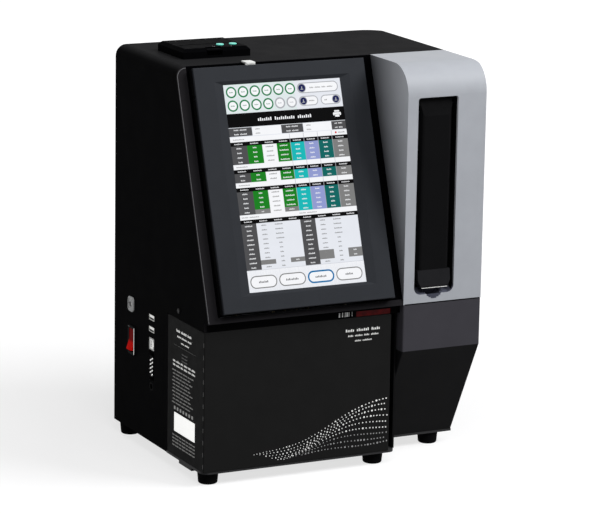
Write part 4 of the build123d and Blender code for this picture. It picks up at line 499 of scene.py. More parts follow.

# Finishes of the case and its moulded parts
# Painted light: the cover's forward and upward faces are painted lighter than its black sides.
COVER_BLACK = PaintedLightFinish("cover_black", (16, 16, 17), 0.5, 0.001, fine=0.5, deep=0.008, mottle=0.03,
                    light_tones=(PaintedLightTone((31, 30, 32), FORWARDS), PaintedLightTone((32, 32, 33), UPWARDS)))
BEZEL_SLATE = Finish("bezel_slate", (43, 45, 49), 0.5, 0.03, fine=0.35, deep=0.012, mottle=0.04)
# Painted shade and light: the left cheek is painted darker and lighter towards its front edge, and the sill
# under the slot is painted a shaded blue-grey.
TOWER_SILVER = PaintedLightFinish("tower_silver", (160, 163, 169), 0.45, 0.12, grain=CARD, fine=0.2, deep=0.006,
                     mottle=0.03,
                     light_tones=(PaintedLightTone((100, 102, 107), LEFTWARDS, (0.9, 0.99)),
                            PaintedLightTone((214, 216, 222), LEFTWARDS, (0.9, 0.99), (168.0, 245.0)),
                            PaintedLightTone((78, 80, 93), low=(80.0, -117.4, 176.5), high=(131.0, -90.0, 194.0))))
# Painted shade: below the crease the downward-sloping foot of the same moulding is painted darker.
TOWER_BAND = PaintedLightAtCrease("tower_band", (60, 59, 64), 0.5, 0.03, fine=0.35, deep=0.012, mottle=0.04,
                     lower=(19, 19, 20))
# Painted shade at the foot of the thumb notch.
NOTCH_SHADE = Finish("notch_shade", (60, 62, 74), 0.45, 0.12, grain=CARD, fine=0.2, deep=0.006)
RECESS_BLACK = Finish("recess_black", (12, 12, 13), 0.5, 0.02)
# Painted light: the flap's upward-facing lip below the crease is painted lighter.
FLAP_BLACK = PaintedLightAtCrease("flap_black", (13, 13, 14), 0.3, 0.02, fine=0.25, deep=0.004, lower=(30, 30, 32),
                     crease=211.5, soft=0.3)
# Black for dark joints, and for the painted shadow round the display door.
GAP_AND_SHADE_BLACK = Finish("gap_and_shade_black", (3, 3, 4), 0.8, 0.0, grain=CARD, fine=0.4, deep=0.004)
BEAM_BLACK = Finish("beam_black", (7, 7, 8), 0.5, 0.004, fine=0.4, deep=0.01)
# A painted highlight along the rim's edge.
EDGE_HIGHLIGHT = Finish("edge_highlight", (78, 78, 80), 0.4, 0.1, grain=CARD, fine=0.5, deep=0.004)
FRAME_BLACK = Finish("frame_black", (14, 14, 15), 0.45, 0.03, fine=0.4, deep=0.015)
PRINTER_BLACK = Finish("printer_black", (5, 5, 6), 0.5, 0.002, fine=0.4, deep=0.015)
SCREW_BLACK = Finish("screw_black", (22, 22, 23), 0.4, 0.06, grain=CARD, fine=0.3, deep=0.01)
SHEET_PAINT = Finish("sheet_paint", (120, 122, 125), 0.45, 0.4, 0.3, grain=CARD, fine=0.6, deep=0.015)
BASE_PAINT = Finish("base_paint", (52, 52, 53), 0.4, 0.05, fine=0.5, deep=0.015)
REAR_PAINT = Finish("rear_paint", (34, 34, 36), 0.45, 0.05, fine=0.5, deep=0.015)
RUBBER = Finish("rubber_black", (12, 12, 13), 0.8, 0.02, fine=0.3, deep=0.03, mottle=0.12)
WHITE_PLASTIC = Finish("white_plastic", (226, 227, 225), 0.45, 0.4, fine=0.4, deep=0.01, mottle=0.03)
INLET_WHITE = Finish("inlet_white", (176, 178, 178), 0.4, 0.45, fine=0.3, deep=0.01, mottle=0.05)
SWITCH_BLACK = Finish("switch_black", (12, 12, 13), 0.4, 0.01, fine=0.3, deep=0.01)
# Painted light: the rocker's lower half is painted brighter red and its upper half darker.
SWITCH_RED = PaintedLightAtCrease("switch_red", (150, 12, 10), 0.4, 0.01, grain=CARD, patch=6.0, lower=(255, 26, 18),
                     crease=114.0, soft=1.6)
JACK_BLACK = Finish("jack_black", (9, 9, 10), 0.4, 0.005, grain=Grain.SMOOTH)
LAMP_TEAL = Lit("lamp_teal", (105, 214, 196), 0.3, 0.3, mottle=0.1, patch=4.0, glow=0.55, body=0.5)
WINDOW_RED = Lit("window_red", (70, 9, 11), 0.3, 0.05, mottle=0.35, patch=6.0, glow=0.35, body=0.5)
GLASS = Finish("screen_glass", (12, 13, 15), 0.1, 0.1, grain=Grain.SMOOTH, mottle=0.02)
PANEL_WHITE = Lit("screen_panel", (232, 235, 240), 0.3, 0.3, mottle=0.02, glow=0.4, body=0.5)

# Finishes of the parts inside
PACK_BOARD = Finish("pack_board", (27, 27, 27), 0.6, 0.02, grain=CARD, fine=0.35, deep=0.012, mottle=0.05)
STEEL = Finish("steel", (190, 190, 186), 0.28, 0.5, 1.0, grain=Grain.BRUSHED, fine=0.3, deep=0.004)
ALLOY = Finish("block_alloy", (188, 190, 193), 0.35, 0.5, 0.9, grain=Grain.BRUSHED, fine=0.5, deep=0.006)
BOARD_GREEN = Finish("board_green", (12, 46, 30), 0.35, 0.3, grain=CARD, fine=0.8, deep=0.02, mottle=0.2,
                     patch=5.0)
BOARD_BLACK = Finish("board_black", (13, 14, 16), 0.35, 0.05, grain=CARD, fine=0.8, deep=0.02, mottle=0.2,
                     patch=5.0)
PUMP_GREY = Finish("pump_grey", (150, 152, 156), 0.45, 0.35)
ROTOR_GREY = Finish("rotor_grey", (92, 94, 98), 0.4, 0.35)
CLAMP_BLUE = Finish("clamp_blue", (34, 88, 158), 0.4, 0.4)
PAPER = Finish("paper_white", (232, 230, 222), 0.75, 0.2, grain=Grain.WOUND, fine=0.4, deep=0.03, mottle=0.03)
CELL_CLEAR = Clear("cell_clear", (222, 232, 240), 0.12, passing=0.7)
TUBE_CLEAR = Clear("tube_clear", (236, 226, 196), 0.25, passing=0.6, ior=1.41)
BAG_FILM = Clear("bag_film", (228, 230, 220), 0.3, passing=0.5, fine=6.0, deep=0.4)

# Inks of the printing
INK_WHITE = Finish("ink_white", (238, 238, 236), 0.6, 0.1, grain=CARD, fine=0.3, deep=0.004, mottle=0.05,
                   patch=3.0)
INK_GREY = Finish("ink_grey", (150, 150, 150), 0.6, 0.1, grain=CARD, fine=0.3, deep=0.004)
# White labels and inks that glow as painted light, though they are no lamps.
LABEL_WHITE_GLOW = Lit("label_white_glow", (250, 250, 248), 0.55, 0.25, mottle=0.02, glow=0.75, body=0.8)
INK_BRIGHT_GLOW = Lit("ink_bright_glow", (236, 236, 234), 0.6, 0.1, mottle=0.05, patch=3.0, glow=0.62, body=0.8)
INK_SOFT_GLOW = Lit("ink_soft_glow", (200, 200, 198), 0.6, 0.1, mottle=0.1, patch=3.0, glow=0.22, body=0.5)

# Lit colours of the screen image
(IMAGE_GROUND, IMAGE_WHITE, IMAGE_MINT, IMAGE_BLACK, IMAGE_LABEL, IMAGE_GREY, IMAGE_PALE, IMAGE_GREEN,
 IMAGE_RING, IMAGE_CYAN, IMAGE_LAVENDER, IMAGE_TEAL, IMAGE_NAVY, IMAGE_BLUE, IMAGE_RED) = (
    Lit(f"image_{name}", colour, 0.25, 0.02, mottle=0.015, patch=14.0, rub=0.03) for name, colour in (
        ("ground", (230, 233, 240)), ("white", (246, 247, 250)), ("mint", (214, 240, 226)),
        ("black", (7, 7, 8)), ("label", (80, 80, 82)), ("grey", (128, 128, 128)), ("pale", (176, 178, 184)),
        ("green", (28, 128, 34)), ("ring", (32, 124, 76)), ("cyan", (28, 184, 184)),
        ("lavender", (146, 156, 208)), ("teal", (18, 102, 98)), ("navy", (30, 36, 84)),
        ("blue", (16, 112, 168)), ("red", (206, 40, 40))))

# What each CAD node wears
DRESS = {
    COVER_BLACK: "main_cover", BEAM_BLACK: "front_beam", BASE_PAINT: "base_pan", REAR_PAINT: "rear_panel",
    RUBBER: "feet platen_roller", SHEET_PAINT: "inner_upright bay_panel pack_guides",
    FRAME_BLACK: "bay_liner tower_divider fan_frame fan_rotor display_back barcode_reader pack_manifold "
                 "print_head",
    SCREW_BLACK: "case_screws door_hinge_pins door_hinge_ears", BEZEL_SLATE: "display_bezel",
    GLASS: "display_glass", PANEL_WHITE: "lcd_panel", BOARD_GREEN: "touch_board",
    WHITE_PLASTIC: "door_tab probe_holder wash_well lan_port selector_valve",
    WINDOW_RED: "scan_window", PACK_BOARD: "pack_case", STEEL: "pack_couplings sample_needle usb_ports",
    TOWER_SILVER: "tower_cover", TOWER_BAND: "tower_lower", RECESS_BLACK: "sampler_recess",
    FLAP_BLACK: "sampler_flap", PRINTER_BLACK: "printer_frame printer_lid release_lever", PAPER: "paper_roll",
    LAMP_TEAL: "feed_button status_button", JACK_BLACK: "aux_jack serial_port", INLET_WHITE: "dc_inlet",
    SWITCH_BLACK: "switch_frame", SWITCH_RED: "power_rocker", BOARD_BLACK: "main_board",
    ALLOY: "measuring_block pump_motors", CELL_CLEAR: "sensor_cells", CLAMP_BLUE: "cell_clamp",
    PUMP_GREY: "pump_cups", ROTOR_GREY: "pump_rotor_left pump_rotor_right",
    TUBE_CLEAR: "pump_tubes link_tubes",
}


def dress() -> None:
    """Give the CAD nodes their finishes."""
    for finish, nodes in DRESS.items():
        for name in nodes.split():
            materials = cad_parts[name].data.materials
            materials.clear()
            materials.append(finish.made())
            log.info("%s is %s", name, finish.name)


def mesh_data(name: str, mesh: bmesh.types.BMesh, *materials: bpy.types.Material) -> bpy.types.Mesh:
    """Close a mesh that was built in code.

    Args:
        name: its name.
        mesh: the mesh, in metres; it is freed.
        *materials: its materials.

    Returns:
        The finished mesh.
    """
    data = bpy.data.meshes.new(name)
    mesh.to_mesh(data)
    mesh.free()
    for material in materials:
        data.materials.append(material)
    return data


def carried(data: bpy.types.Mesh, body: str) -> bpy.types.Object:
    """Make a mesh an object that rides on a CAD body.

    Args:
        data: the mesh, already in place.
        body: the CAD body's name.

    Returns:
        The piece.
    """
    piece = bpy.data.objects.new(data.name, data)
    bpy.context.scene.collection.objects.link(piece)
    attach(piece, body)
    log.info("piece %s rides on %s", piece.name, body)
    return piece


@dataclass(frozen=True)
class Face:
    """The way that a sheet of marks lies, by its own axes across and up."""

    across: Triple
    up: Triple

    def at(self, x: float, y: float, z: float) -> Matrix:
        """Give the place of a sheet that lies this way.

        Args:
            x: its origin across the instrument, in millimetres.
            y: its depth.
            z: its height.

        Returns:
            The matrix from the sheet to the row frame, in metres.
        """
        across, up = Vector(self.across), Vector(self.up)
        axes = Matrix((across, up, across.cross(up))).transposed().to_4x4()
        return Matrix.Translation(Vector((x, y, z)) * MM) @ axes


FRONT = Face((1.0, 0.0, 0.0), (0.0, 0.0, 1.0))
SIDE = Face((0.0, -1.0, 0.0), (0.0, 0.0, 1.0))
REAR = Face((-1.0, 0.0, 0.0), (0.0, 0.0, 1.0))
TOP = Face((1.0, 0.0, 0.0), (0.0, 1.0, 0.0))
LEAN = Face((1.0, 0.0, 0.0), (0.0, math.sin(TILT), math.cos(TILT)))


def on_lean(across: float, up: float = 0.0, out: float = 0.0) -> Matrix:
    """Give the place of a sheet on the plane in which the display door leans back.

    Args:
        across: its origin across, in millimetres.
        up: its origin up the slope.
        out: how far it stands out from the plane.

    Returns:
        The matrix from the sheet to the row frame, in metres.
    """
    sine, cosine = math.sin(TILT), math.cos(TILT)
    return LEAN.at(across, NOSE_Y + up * sine - out * cosine, NOSE_Z + up * cosine + out * sine)


@dataclass
class MarkSheet:
    """Thin printed or lit marks gathered into one piece on a flat place, in millimetres."""

    name: str
    place: Matrix
    step: float = 0.05

    def __post_init__(self) -> None:
        """Start the sheet's mesh with no marks and no inks."""
        self.mesh = bmesh.new()
        self.inks: list[Finish] = []

    def settle(self, made: list[bmesh.types.BMVert], ink: Finish) -> None:
        """Give new geometry its ink.

        Args:
            made: the new vertices.
            ink: their finish.
        """
        if ink not in self.inks:
            self.inks.append(ink)
        for face in {face for vertex in made for face in vertex.link_faces}:
            face.material_index = self.inks.index(ink)

    def slab(self, centre: Span, size: Span, layer: int, turn: float = 0.0) -> list[bmesh.types.BMVert]:
        """Add a thin slab that stands on the sheet.

        Args:
            centre: its middle.
            size: its length and width.
            layer: how many steps its face stands above the sheet.
            turn: how far its length turns from the sheet's own across.

        Returns:
            Its vertices.
        """
        depth = layer * self.step
        matrix = (Matrix.Translation((*centre, depth / 2)) @ Matrix.Rotation(turn, 4, "Z")
                  @ Matrix.Diagonal((*size, depth, 1.0)))
        return bmesh.ops.create_cube(self.mesh, size=1.0, matrix=matrix)["verts"]

    def plate(self, across: Span, up: Span, ink: Finish, layer: int = 1, corner: float = 0.0) -> None:
        """Lay down a rectangle, with rounded corners where asked.

        Args:
            across: its left and right limits.
            up: its lower and upper limits.
            ink: its finish.
            layer: how many steps its face stands above the sheet.
            corner: the corners' radius.
        """
        size = (across[1] - across[0], up[1] - up[0])
        made = self.slab((sum(across) / 2, sum(up) / 2), size, layer)
        if corner:
            uprights = [edge for edge in {e for v in made for e in v.link_edges}
                        if abs(edge.verts[0].co.z - edge.verts[1].co.z) > layer * self.step / 2]
            others = set(self.mesh.verts) - set(made)
            bmesh.ops.bevel(self.mesh, geom=uprights, offset=min(corner, size[0] * 0.499, size[1] * 0.499),
                            offset_type="OFFSET", affect="EDGES", segments=5, profile=0.5, material=-1)
            made = [vertex for vertex in self.mesh.verts if vertex not in others]
        self.settle(made, ink)

    def disc(self, centre: Span, radius: float, ink: Finish, layer: int = 1, sides: int = 28) -> None:
        """Lay down a round mark.

        Args:
            centre: its place.
            radius: its radius.
            ink: its finish.
            layer: how many steps its face stands above the sheet.
            sides: how many sides its edge has.
        """
        depth = layer * self.step
        made = bmesh.ops.create_cone(
            self.mesh, cap_ends=True, cap_tris=False, segments=sides, radius1=radius, radius2=radius,
            depth=depth, matrix=Matrix.Translation((*centre, depth / 2)))["verts"]
        self.settle(made, ink)

    def line(self, start: Span, end: Span, width: float, ink: Finish) -> None:
        """Lay down a straight stroke between two places.

        Args:
            start: its first end.
            end: its other end.
            width: its width.
            ink: its finish.
        """
        reach = Vector((end[0] - start[0], end[1] - start[1]))
        middle = ((start[0] + end[0]) / 2, (start[1] + end[1]) / 2)
        self.settle(self.slab(middle, (reach.length, width), 1, math.atan2(reach.y, reach.x)), ink)

    def words(self, across: Span, up: float, height: float, ink: Finish, parts: int = 2,
              layer: int = 1) -> None:
        """Lay down a line of words without letters, as small upright strokes of uneven height.

        Args:
            across: the line's left and right limits.
            up: the line's middle.
            height: the tallest stroke.
            ink: their finish.
            parts: how many words there are.
            layer: how many steps they stand above the sheet.
        """
        gap = height * WORD_GAP
        length = (across[1] - across[0] - gap * (parts - 1)) / parts
        start, foot = across[0], up - height / 2
        for part in range(parts):
            swing = WORD_SWING * length * (1 if part % 2 else -1) if parts > 1 else 0.0
            word = length + swing
            count = max(2, round(word / (height * STROKE_PITCH)))
            pitch = word / count
            for number in range(count):
                tall = height * STROKE_HEIGHTS[(number * 3 + count) % len(STROKE_HEIGHTS)]
                left = start + number * pitch
                self.plate((left, left + pitch * STROKE_FILL), (foot, foot + tall), ink, layer)
            start += word + gap

    def lay(self, body: str, slot: str) -> bpy.types.Object:
        """Put the marks in place as one piece.

        Args:
            body: the CAD body that carries them.
            slot: the record's material slot; not used.

        Returns:
            The piece.
        """
        bmesh.ops.scale(self.mesh, vec=(MM, MM, MM), verts=self.mesh.verts)
        bmesh.ops.transform(self.mesh, matrix=self.place, verts=self.mesh.verts)
        return carried(mesh_data(self.name, self.mesh, *(ink.made() for ink in self.inks)), body)


@dataclass
class ScreenImage:
    """The lit page on the display: indicators, title, tables and buttons, placed by shares of the page."""

    left: float = LEFT + 47.9
    low: float = 28.1
    out: float = 7.53  # just off the glass
    width: float = 135.6
    height: float = 217.0
    margin: float = 0.15
    text: float = 1.5  # how high the words are in cells
    small: float = 1.3
    caption: float = 1.2
    strip: float = 0.0235  # how high a table's title, header and rows are
    header: float = 0.0195
    row: float = 0.0222
    columns: tuple[float, ...] = (0.0, 0.137, 0.265, 0.388, 0.506, 0.625, 0.745, 0.8675, 1.0)
    column_inks: tuple[Finish, ...] = (IMAGE_LABEL, IMAGE_GREEN, IMAGE_WHITE, IMAGE_GREEN, IMAGE_CYAN,
                                       IMAGE_LAVENDER, IMAGE_TEAL, IMAGE_GREY)
    column_words: tuple[float, ...] = (6.0, 5.0, 9.0, 10.5, 6.0, 6.0, 5.5, 6.5)
    fact_lines: Span = (0.22, 0.2405)
    lower_edges: tuple[float, ...] = (0.0, 0.258, 0.51, 0.76, 1.0)
    lower_words: tuple[Span, Span] = ((6.0, 6.0), (9.0, 4.0))  # in the first rows and after them
    button_words: tuple[float, ...] = (11.0, 14.5, 13.0, 9.0)

    def __post_init__(self) -> None:
        """Start the sheet on the glass."""
        self.sheet = MarkSheet("screen_image", on_lean(self.left, self.low, self.out), 0.04)

    def x(self, share: float) -> float:
        """Turn a share of the width into millimetres from the left."""
        return self.width * share

    def z(self, share: float) -> float:
        """Turn a share of the height, from the top, into millimetres from the foot."""
        return self.height * (1.0 - share)

    def cell(self, across: Span, down: Span, ink: Finish, layer: int = 2) -> None:
        """Fill a cell.

        Args:
            across: its left and right shares.
            down: its upper and lower shares, from the top.
            ink: its colour.
            layer: how many steps it stands above the page.
        """
        left, right = (self.x(share) for share in across)
        top, foot = (self.z(share) for share in down)
        self.sheet.plate((left, right), (foot, top), ink, layer)

    def band(self, top: float, foot: float, ink: Finish, layer: int = 2) -> None:
        """Fill a band over the page's whole width.

        Args:
            top: its upper share, from the top.
            foot: its lower share.
            ink: its colour.
            layer: how many steps it stands above the page.
        """
        self.cell((0.0, 1.0), (top, foot), ink, layer)

    def label(self, across: float, down: float, length: float, ink: Finish, height: float = 1.5,
              parts: int = 1, layer: int = 3) -> None:
        """Write a short line of words round a place.

        Args:
            across: its share across.
            down: its share from the top.
            length: its length in millimetres.
            ink: its colour.
            height: the words' height.
            parts: how many words it has.
            layer: how many steps it stands above the page.
        """
        centre = self.x(across)
        self.sheet.words((centre - length / 2, centre + length / 2), self.z(down), height, ink, parts, layer)

    def pill(self, across: Span, down: float, half: float, edge: Finish, border: float = 1.0) -> None:
        """Draw a rounded button.

        Args:
            across: its left and right shares.
            down: its middle, from the top.
            half: half its height in millimetres.
            edge: its border's colour.
            border: the border's width.
        """
        left, right, middle = self.x(across[0]), self.x(across[1]), self.z(down)
        self.sheet.plate((left, right), (middle - half, middle + half), edge, 2, half * 0.96)
        face = half - border
        self.sheet.plate((left + border, right - border), (middle - face, middle + face), IMAGE_WHITE, 3,
                         face * 0.96)

    def badge(self, across: float, down: float, half: float) -> None:
        """Draw the round badge on a pill, with its small sign.

        Args:
            across: its share across.
            down: its share from the top.
            half: half the pill's height in millimetres.
        """
        x, z = self.x(across), self.z(down)
        self.sheet.disc((x, z), half * 0.86, IMAGE_PALE, 4)
        self.sheet.disc((x, z), half * 0.72, IMAGE_NAVY, 5)
        for reach, top in ((0.5, 1.7), (1.6, -0.9)):
            self.sheet.plate((x - reach, x + reach), (z - 1.7, z + top), IMAGE_PALE, 6, 0.3)

    def indicators(self) -> None:
        """Draw the two rows of round indicators and the three status pills."""
        self.cell((0.0, 0.6), (0.0, 0.14), IMAGE_MINT, 1)
        for number in range(12):
            row, column = divmod(number, 6)
            across, down = 0.063 + 0.0999 * column, 0.0372 + 0.0658 * row
            ink = IMAGE_PALE if number > 9 else IMAGE_RING
            self.sheet.disc((self.x(across), self.z(down)), 6.0, ink, 2)
            self.sheet.disc((self.x(across), self.z(down)), 4.4, IMAGE_WHITE, 3)
            self.label(across, down, 4.4, ink, self.small, layer=4)
        for across, down, half, badge, middle, length, parts in (
                ((0.622, 0.975), 0.0385, 5.6, 0.663, 0.83, 27.0, 4),
                ((0.6245, 0.79), 0.1018, 5.2, 0.664, 0.735, 6.5, 1),
                ((0.813, 0.985), 0.1025, 5.2, 0.943, 0.856, 3.4, 1)):
            self.pill(across, down, half, IMAGE_PALE)
            self.badge(badge, down, half)
            self.label(middle, down, length, IMAGE_GREY, self.text, parts, 4)

    def title(self) -> None:
        """Draw the black title bar with its words and the small printer sign."""
        self.band(0.1402, 0.2075, IMAGE_BLACK)
        self.label(0.502, 0.1748, 66.0, IMAGE_WHITE, 3.4, 3)
        x, z = self.x(0.937), self.z(0.1739)
        for half, low, high, ink, layer, corner in (
                (4.6, -1.8, 1.4, IMAGE_WHITE, 3, 0.9), (2.9, 1.9, 3.6, IMAGE_WHITE, 3, 0.4),
                (3.0, -3.7, -0.6, IMAGE_BLACK, 4, 0.0), (2.5, -3.4, -0.9, IMAGE_WHITE, 5, 0.3)):
            self.sheet.plate((x - half, x + half), (z + low, z + high), ink, layer, corner)

    def fact_rows(self) -> None:
        """Draw the label cells of the sample's own facts."""
        down = (0.2098, 0.2505)
        for across in ((0.0, 0.196), (0.446, 0.631), (0.877, 1.0)):
            self.cell(across, down, IMAGE_LABEL)
            for line in self.fact_lines:
                self.label(sum(across) / 2, line, self.x(across[1] - across[0]) * 0.55, IMAGE_WHITE,
                           self.text, 2)
        for across in ((0.2, 0.443), (0.635, 0.874)):
            self.cell(across, down, IMAGE_WHITE)
            for line in self.fact_lines:
                self.label(across[0] + 0.045, line, 5.5, IMAGE_GREY, self.small)
        self.sheet.disc((self.x(0.905), self.z(0.265)), 1.1, IMAGE_RED, 3, 14)
        self.label(0.955, 0.265, 8.0, IMAGE_GREY, self.small)

    def result_table(self, top: float, rows: int, grey_last: bool) -> None:
        """Draw one table of results, with its coloured columns.

        Args:
            top: where it starts.
            rows: how many rows it has.
            grey_last: whether the green cells of its last row are grey.
        """
        head = top + self.strip
        body = head + self.header
        foot = body + self.row * rows
        self.band(top, head, IMAGE_WHITE)
        self.label(0.075, top + self.strip / 2, 13.0, IMAGE_GREY, self.caption)
        self.band(head, body, IMAGE_BLACK)
        for number, ink in enumerate(self.column_inks):
            across = (self.columns[number], self.columns[number + 1])
            middle = sum(across) / 2
            self.label(middle, head + self.header / 2, 9.5, IMAGE_WHITE, self.small)
            self.cell(across, (body, foot), ink)
            if number >= 4:
                self.cell((across[0] - 0.0018, across[0] + 0.0018), (top, foot), IMAGE_PALE, 3)
            word = IMAGE_GREY if ink is IMAGE_WHITE else IMAGE_WHITE
            for row in range(rows):
                down = body + self.row * (row + 0.5)
                share = 1.0 - 0.16 * ((row + number) % 2)
                if grey_last and row == rows - 1 and ink is IMAGE_GREEN:
                    self.cell(across, (down - self.row / 2, foot), IMAGE_GREY, 3)
                    share = 0.6
                self.label(middle, down, self.column_words[number] * share, word, self.text, layer=4)

    def lower_tables(self, top: float, rows: int = 10) -> None:
        """Draw the two side-by-side tables of calculated values.

        Args:
            top: where their header starts.
            rows: how many rows each has.
        """
        body = top + self.header
        foot = body + self.row * rows
        self.band(top - self.strip, top, IMAGE_WHITE)
        for left in (0.09, 0.58):
            self.label(left, top - self.strip / 2, 20.0, IMAGE_GREY, self.caption, 2)
        self.band(top, body, IMAGE_BLACK)
        for left, span, greys in ((0.0, 0.503, (8,)), (0.503, 0.497, (7, 8))):
            edges = [left + span * share for share in self.lower_edges]
            cells = list(zip(edges, edges[1:]))
            middles = [sum(cell) / 2 for cell in cells]
            self.cell(cells[0], (body, foot), IMAGE_LABEL)
            for middle in middles:
                self.label(middle, top + self.header / 2, 9.0, IMAGE_WHITE, self.small)
            for row in range(rows):
                down = body + self.row * (row + 0.5)
                self.label(middles[0], down, 8.5 - (row * 3 % 4), IMAGE_WHITE, self.text, layer=4)
                for middle, lengths in zip(middles[1:3], self.lower_words):
                    self.label(middle, down, lengths[row > 3], IMAGE_GREY, self.small, layer=5)
                if row in greys:
                    for number in (1, 3):
                        self.cell(cells[number], (down - self.row / 2, down + self.row / 2), IMAGE_GREY, 3)
                        self.label(middles[number], down, 4.0, IMAGE_WHITE, self.small, layer=4)
        self.band(foot + 0.001, foot + 0.002, IMAGE_PALE)

    def buttons(self) -> None:
        """Draw the four rounded buttons at the foot of the page."""
        down = 0.9525
        self.band(0.897, 0.9995, IMAGE_WHITE, 1)
        for number, length in enumerate(self.button_words):
            edge, border = (IMAGE_BLUE, 1.7) if number == 2 else (IMAGE_GREY, 1.1)
            middle = 0.1317 + 0.2437 * number
            self.pill((middle - 0.113, middle + 0.113), down, 6.6, edge, border)
            self.label(middle, down, length, IMAGE_LABEL, 2.2, layer=4)

    def build(self) -> None:
        """Draw the whole page and put it on the door."""
        self.sheet.plate((self.margin, self.width - self.margin), (self.margin, self.height - self.margin),
                         IMAGE_GROUND)
        self.indicators()
        self.title()
        self.fact_rows()
        for top, rows, grey_last in ((0.2545, 4, False), (0.3867, 2, False), (0.4745, 5, True)):
            self.result_table(top, rows, grey_last)
        self.lower_tables(0.6525)
        self.buttons()
        self.sheet.lay("door", "screen_panel")


@dataclass
class Housing:
    """The marks on the cover and on the rear panel: painted shadow round the door, a painted highlight along
    the rim, and the rear plate.
    """

    tower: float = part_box("tower_cover")[0].x / MM - COVER_LEFT
    door: tuple[float, float, float] = (15.1, 213.5, 264.6)  # left, right and top on the slope
    roof_line: float = 268.4
    gap_left: float = 12.4
    gap_low: float = 6.4
    bend: float = 12.0
    edge: Span = (1.3, 2.05)
    edge_from: float = 1.0
    plate_at: Span = (212.0, 176.0)  # from the cover's left side, and up
    plate: Span = (86.0, 54.0)

    def shadow_gap(self) -> None:
        """Paint shadow on the strip of the leaning face that shows round the door: a black sheet over the gap
        and the rim beside it, where shade falls.
        """
        # A black sheet laid as painted shadow in and beside the door's gap.
        sheet = MarkSheet("door_gap_shade", on_lean(COVER_LEFT))
        left, right, top = self.door
        for across, low in (((self.gap_left, left), self.gap_low), ((left, right), top),
                            ((right, self.tower - 0.2), self.gap_low)):
            sheet.plate(across, (low, self.roof_line), GAP_AND_SHADE_BLACK)
        sheet.lay("chassis", "cover_black")

    def edge_line(self) -> None:
        """Draw a painted highlight that runs along the leaning rim and round its upper bend."""
        sheet = MarkSheet("rim_highlight", on_lean(COVER_LEFT))
        bend_foot = self.roof_line - self.bend
        sheet.plate(self.edge, (self.edge_from, bend_foot), EDGE_HIGHLIGHT)
        radius = self.bend - sum(self.edge) / 2
        turns = [math.radians(number * 9.0) for number in range(11)]
        corner = [(self.bend - radius * math.cos(turn), bend_foot + radius * math.sin(turn))
                  for turn in turns]
        for start, end in zip(corner, corner[1:]):
            sheet.line(start, end, self.edge[1] - self.edge[0], EDGE_HIGHLIGHT)
        sheet.lay("chassis", "cover_black")

    def rear_plate(self) -> None:
        """Put a bare plate on the rear panel, with four plain lines; its white face glows as painted light.
        """
        place = REAR.at(COVER_LEFT + self.plate_at[0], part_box("rear_panel")[1].y / MM, self.plate_at[1])
        sheet = MarkSheet("rear_plate", place, 0.1)
        width, height = self.plate
        for inset, ink, layer, corner in ((0.0, INLET_WHITE, 2, 3.0), (1.2, LABEL_WHITE_GLOW, 3, 2.0)):
            sheet.plate((inset, width - inset), (inset, height - inset), ink, layer, corner)
        for number in range(4):
            up = height - 10.0 - number * 10.5
            sheet.plate((8.0, width - 8.0), (up, up + 0.4), INK_GREY, 4)
        sheet.lay("chassis", "white_plastic")

    def build(self) -> None:
        """Mark the housing."""
        self.shadow_gap()
        self.edge_line()
        self.rear_plate()


@dataclass
class ScanBeam:
    """The small bar sign on the beam under the nose."""

    left: float = LEFT + 155.0
    low: float = 167.4
    front: float = PACK_FRONT + 1.5
    height: float = 4.8
    gap: float = 0.75
    bars: tuple[float, ...] = (1.6, 0.7, 1.2, 0.6, 1.0, 2.2, 0.7, 1.4, 0.6, 1.3)

    def build(self) -> None:
        """Print the bar sign beside the red pane."""
        sign = MarkSheet("bar_sign", FRONT.at(self.left, self.front, self.low))
        start = 0.0
        for number, width in enumerate(self.bars):
            if number % 2 == 0 or number == 5:
                sign.plate((start, start + width), (0.0, self.height), INK_WHITE)
            start += width + self.gap
        sign.lay("chassis", "white_plastic")


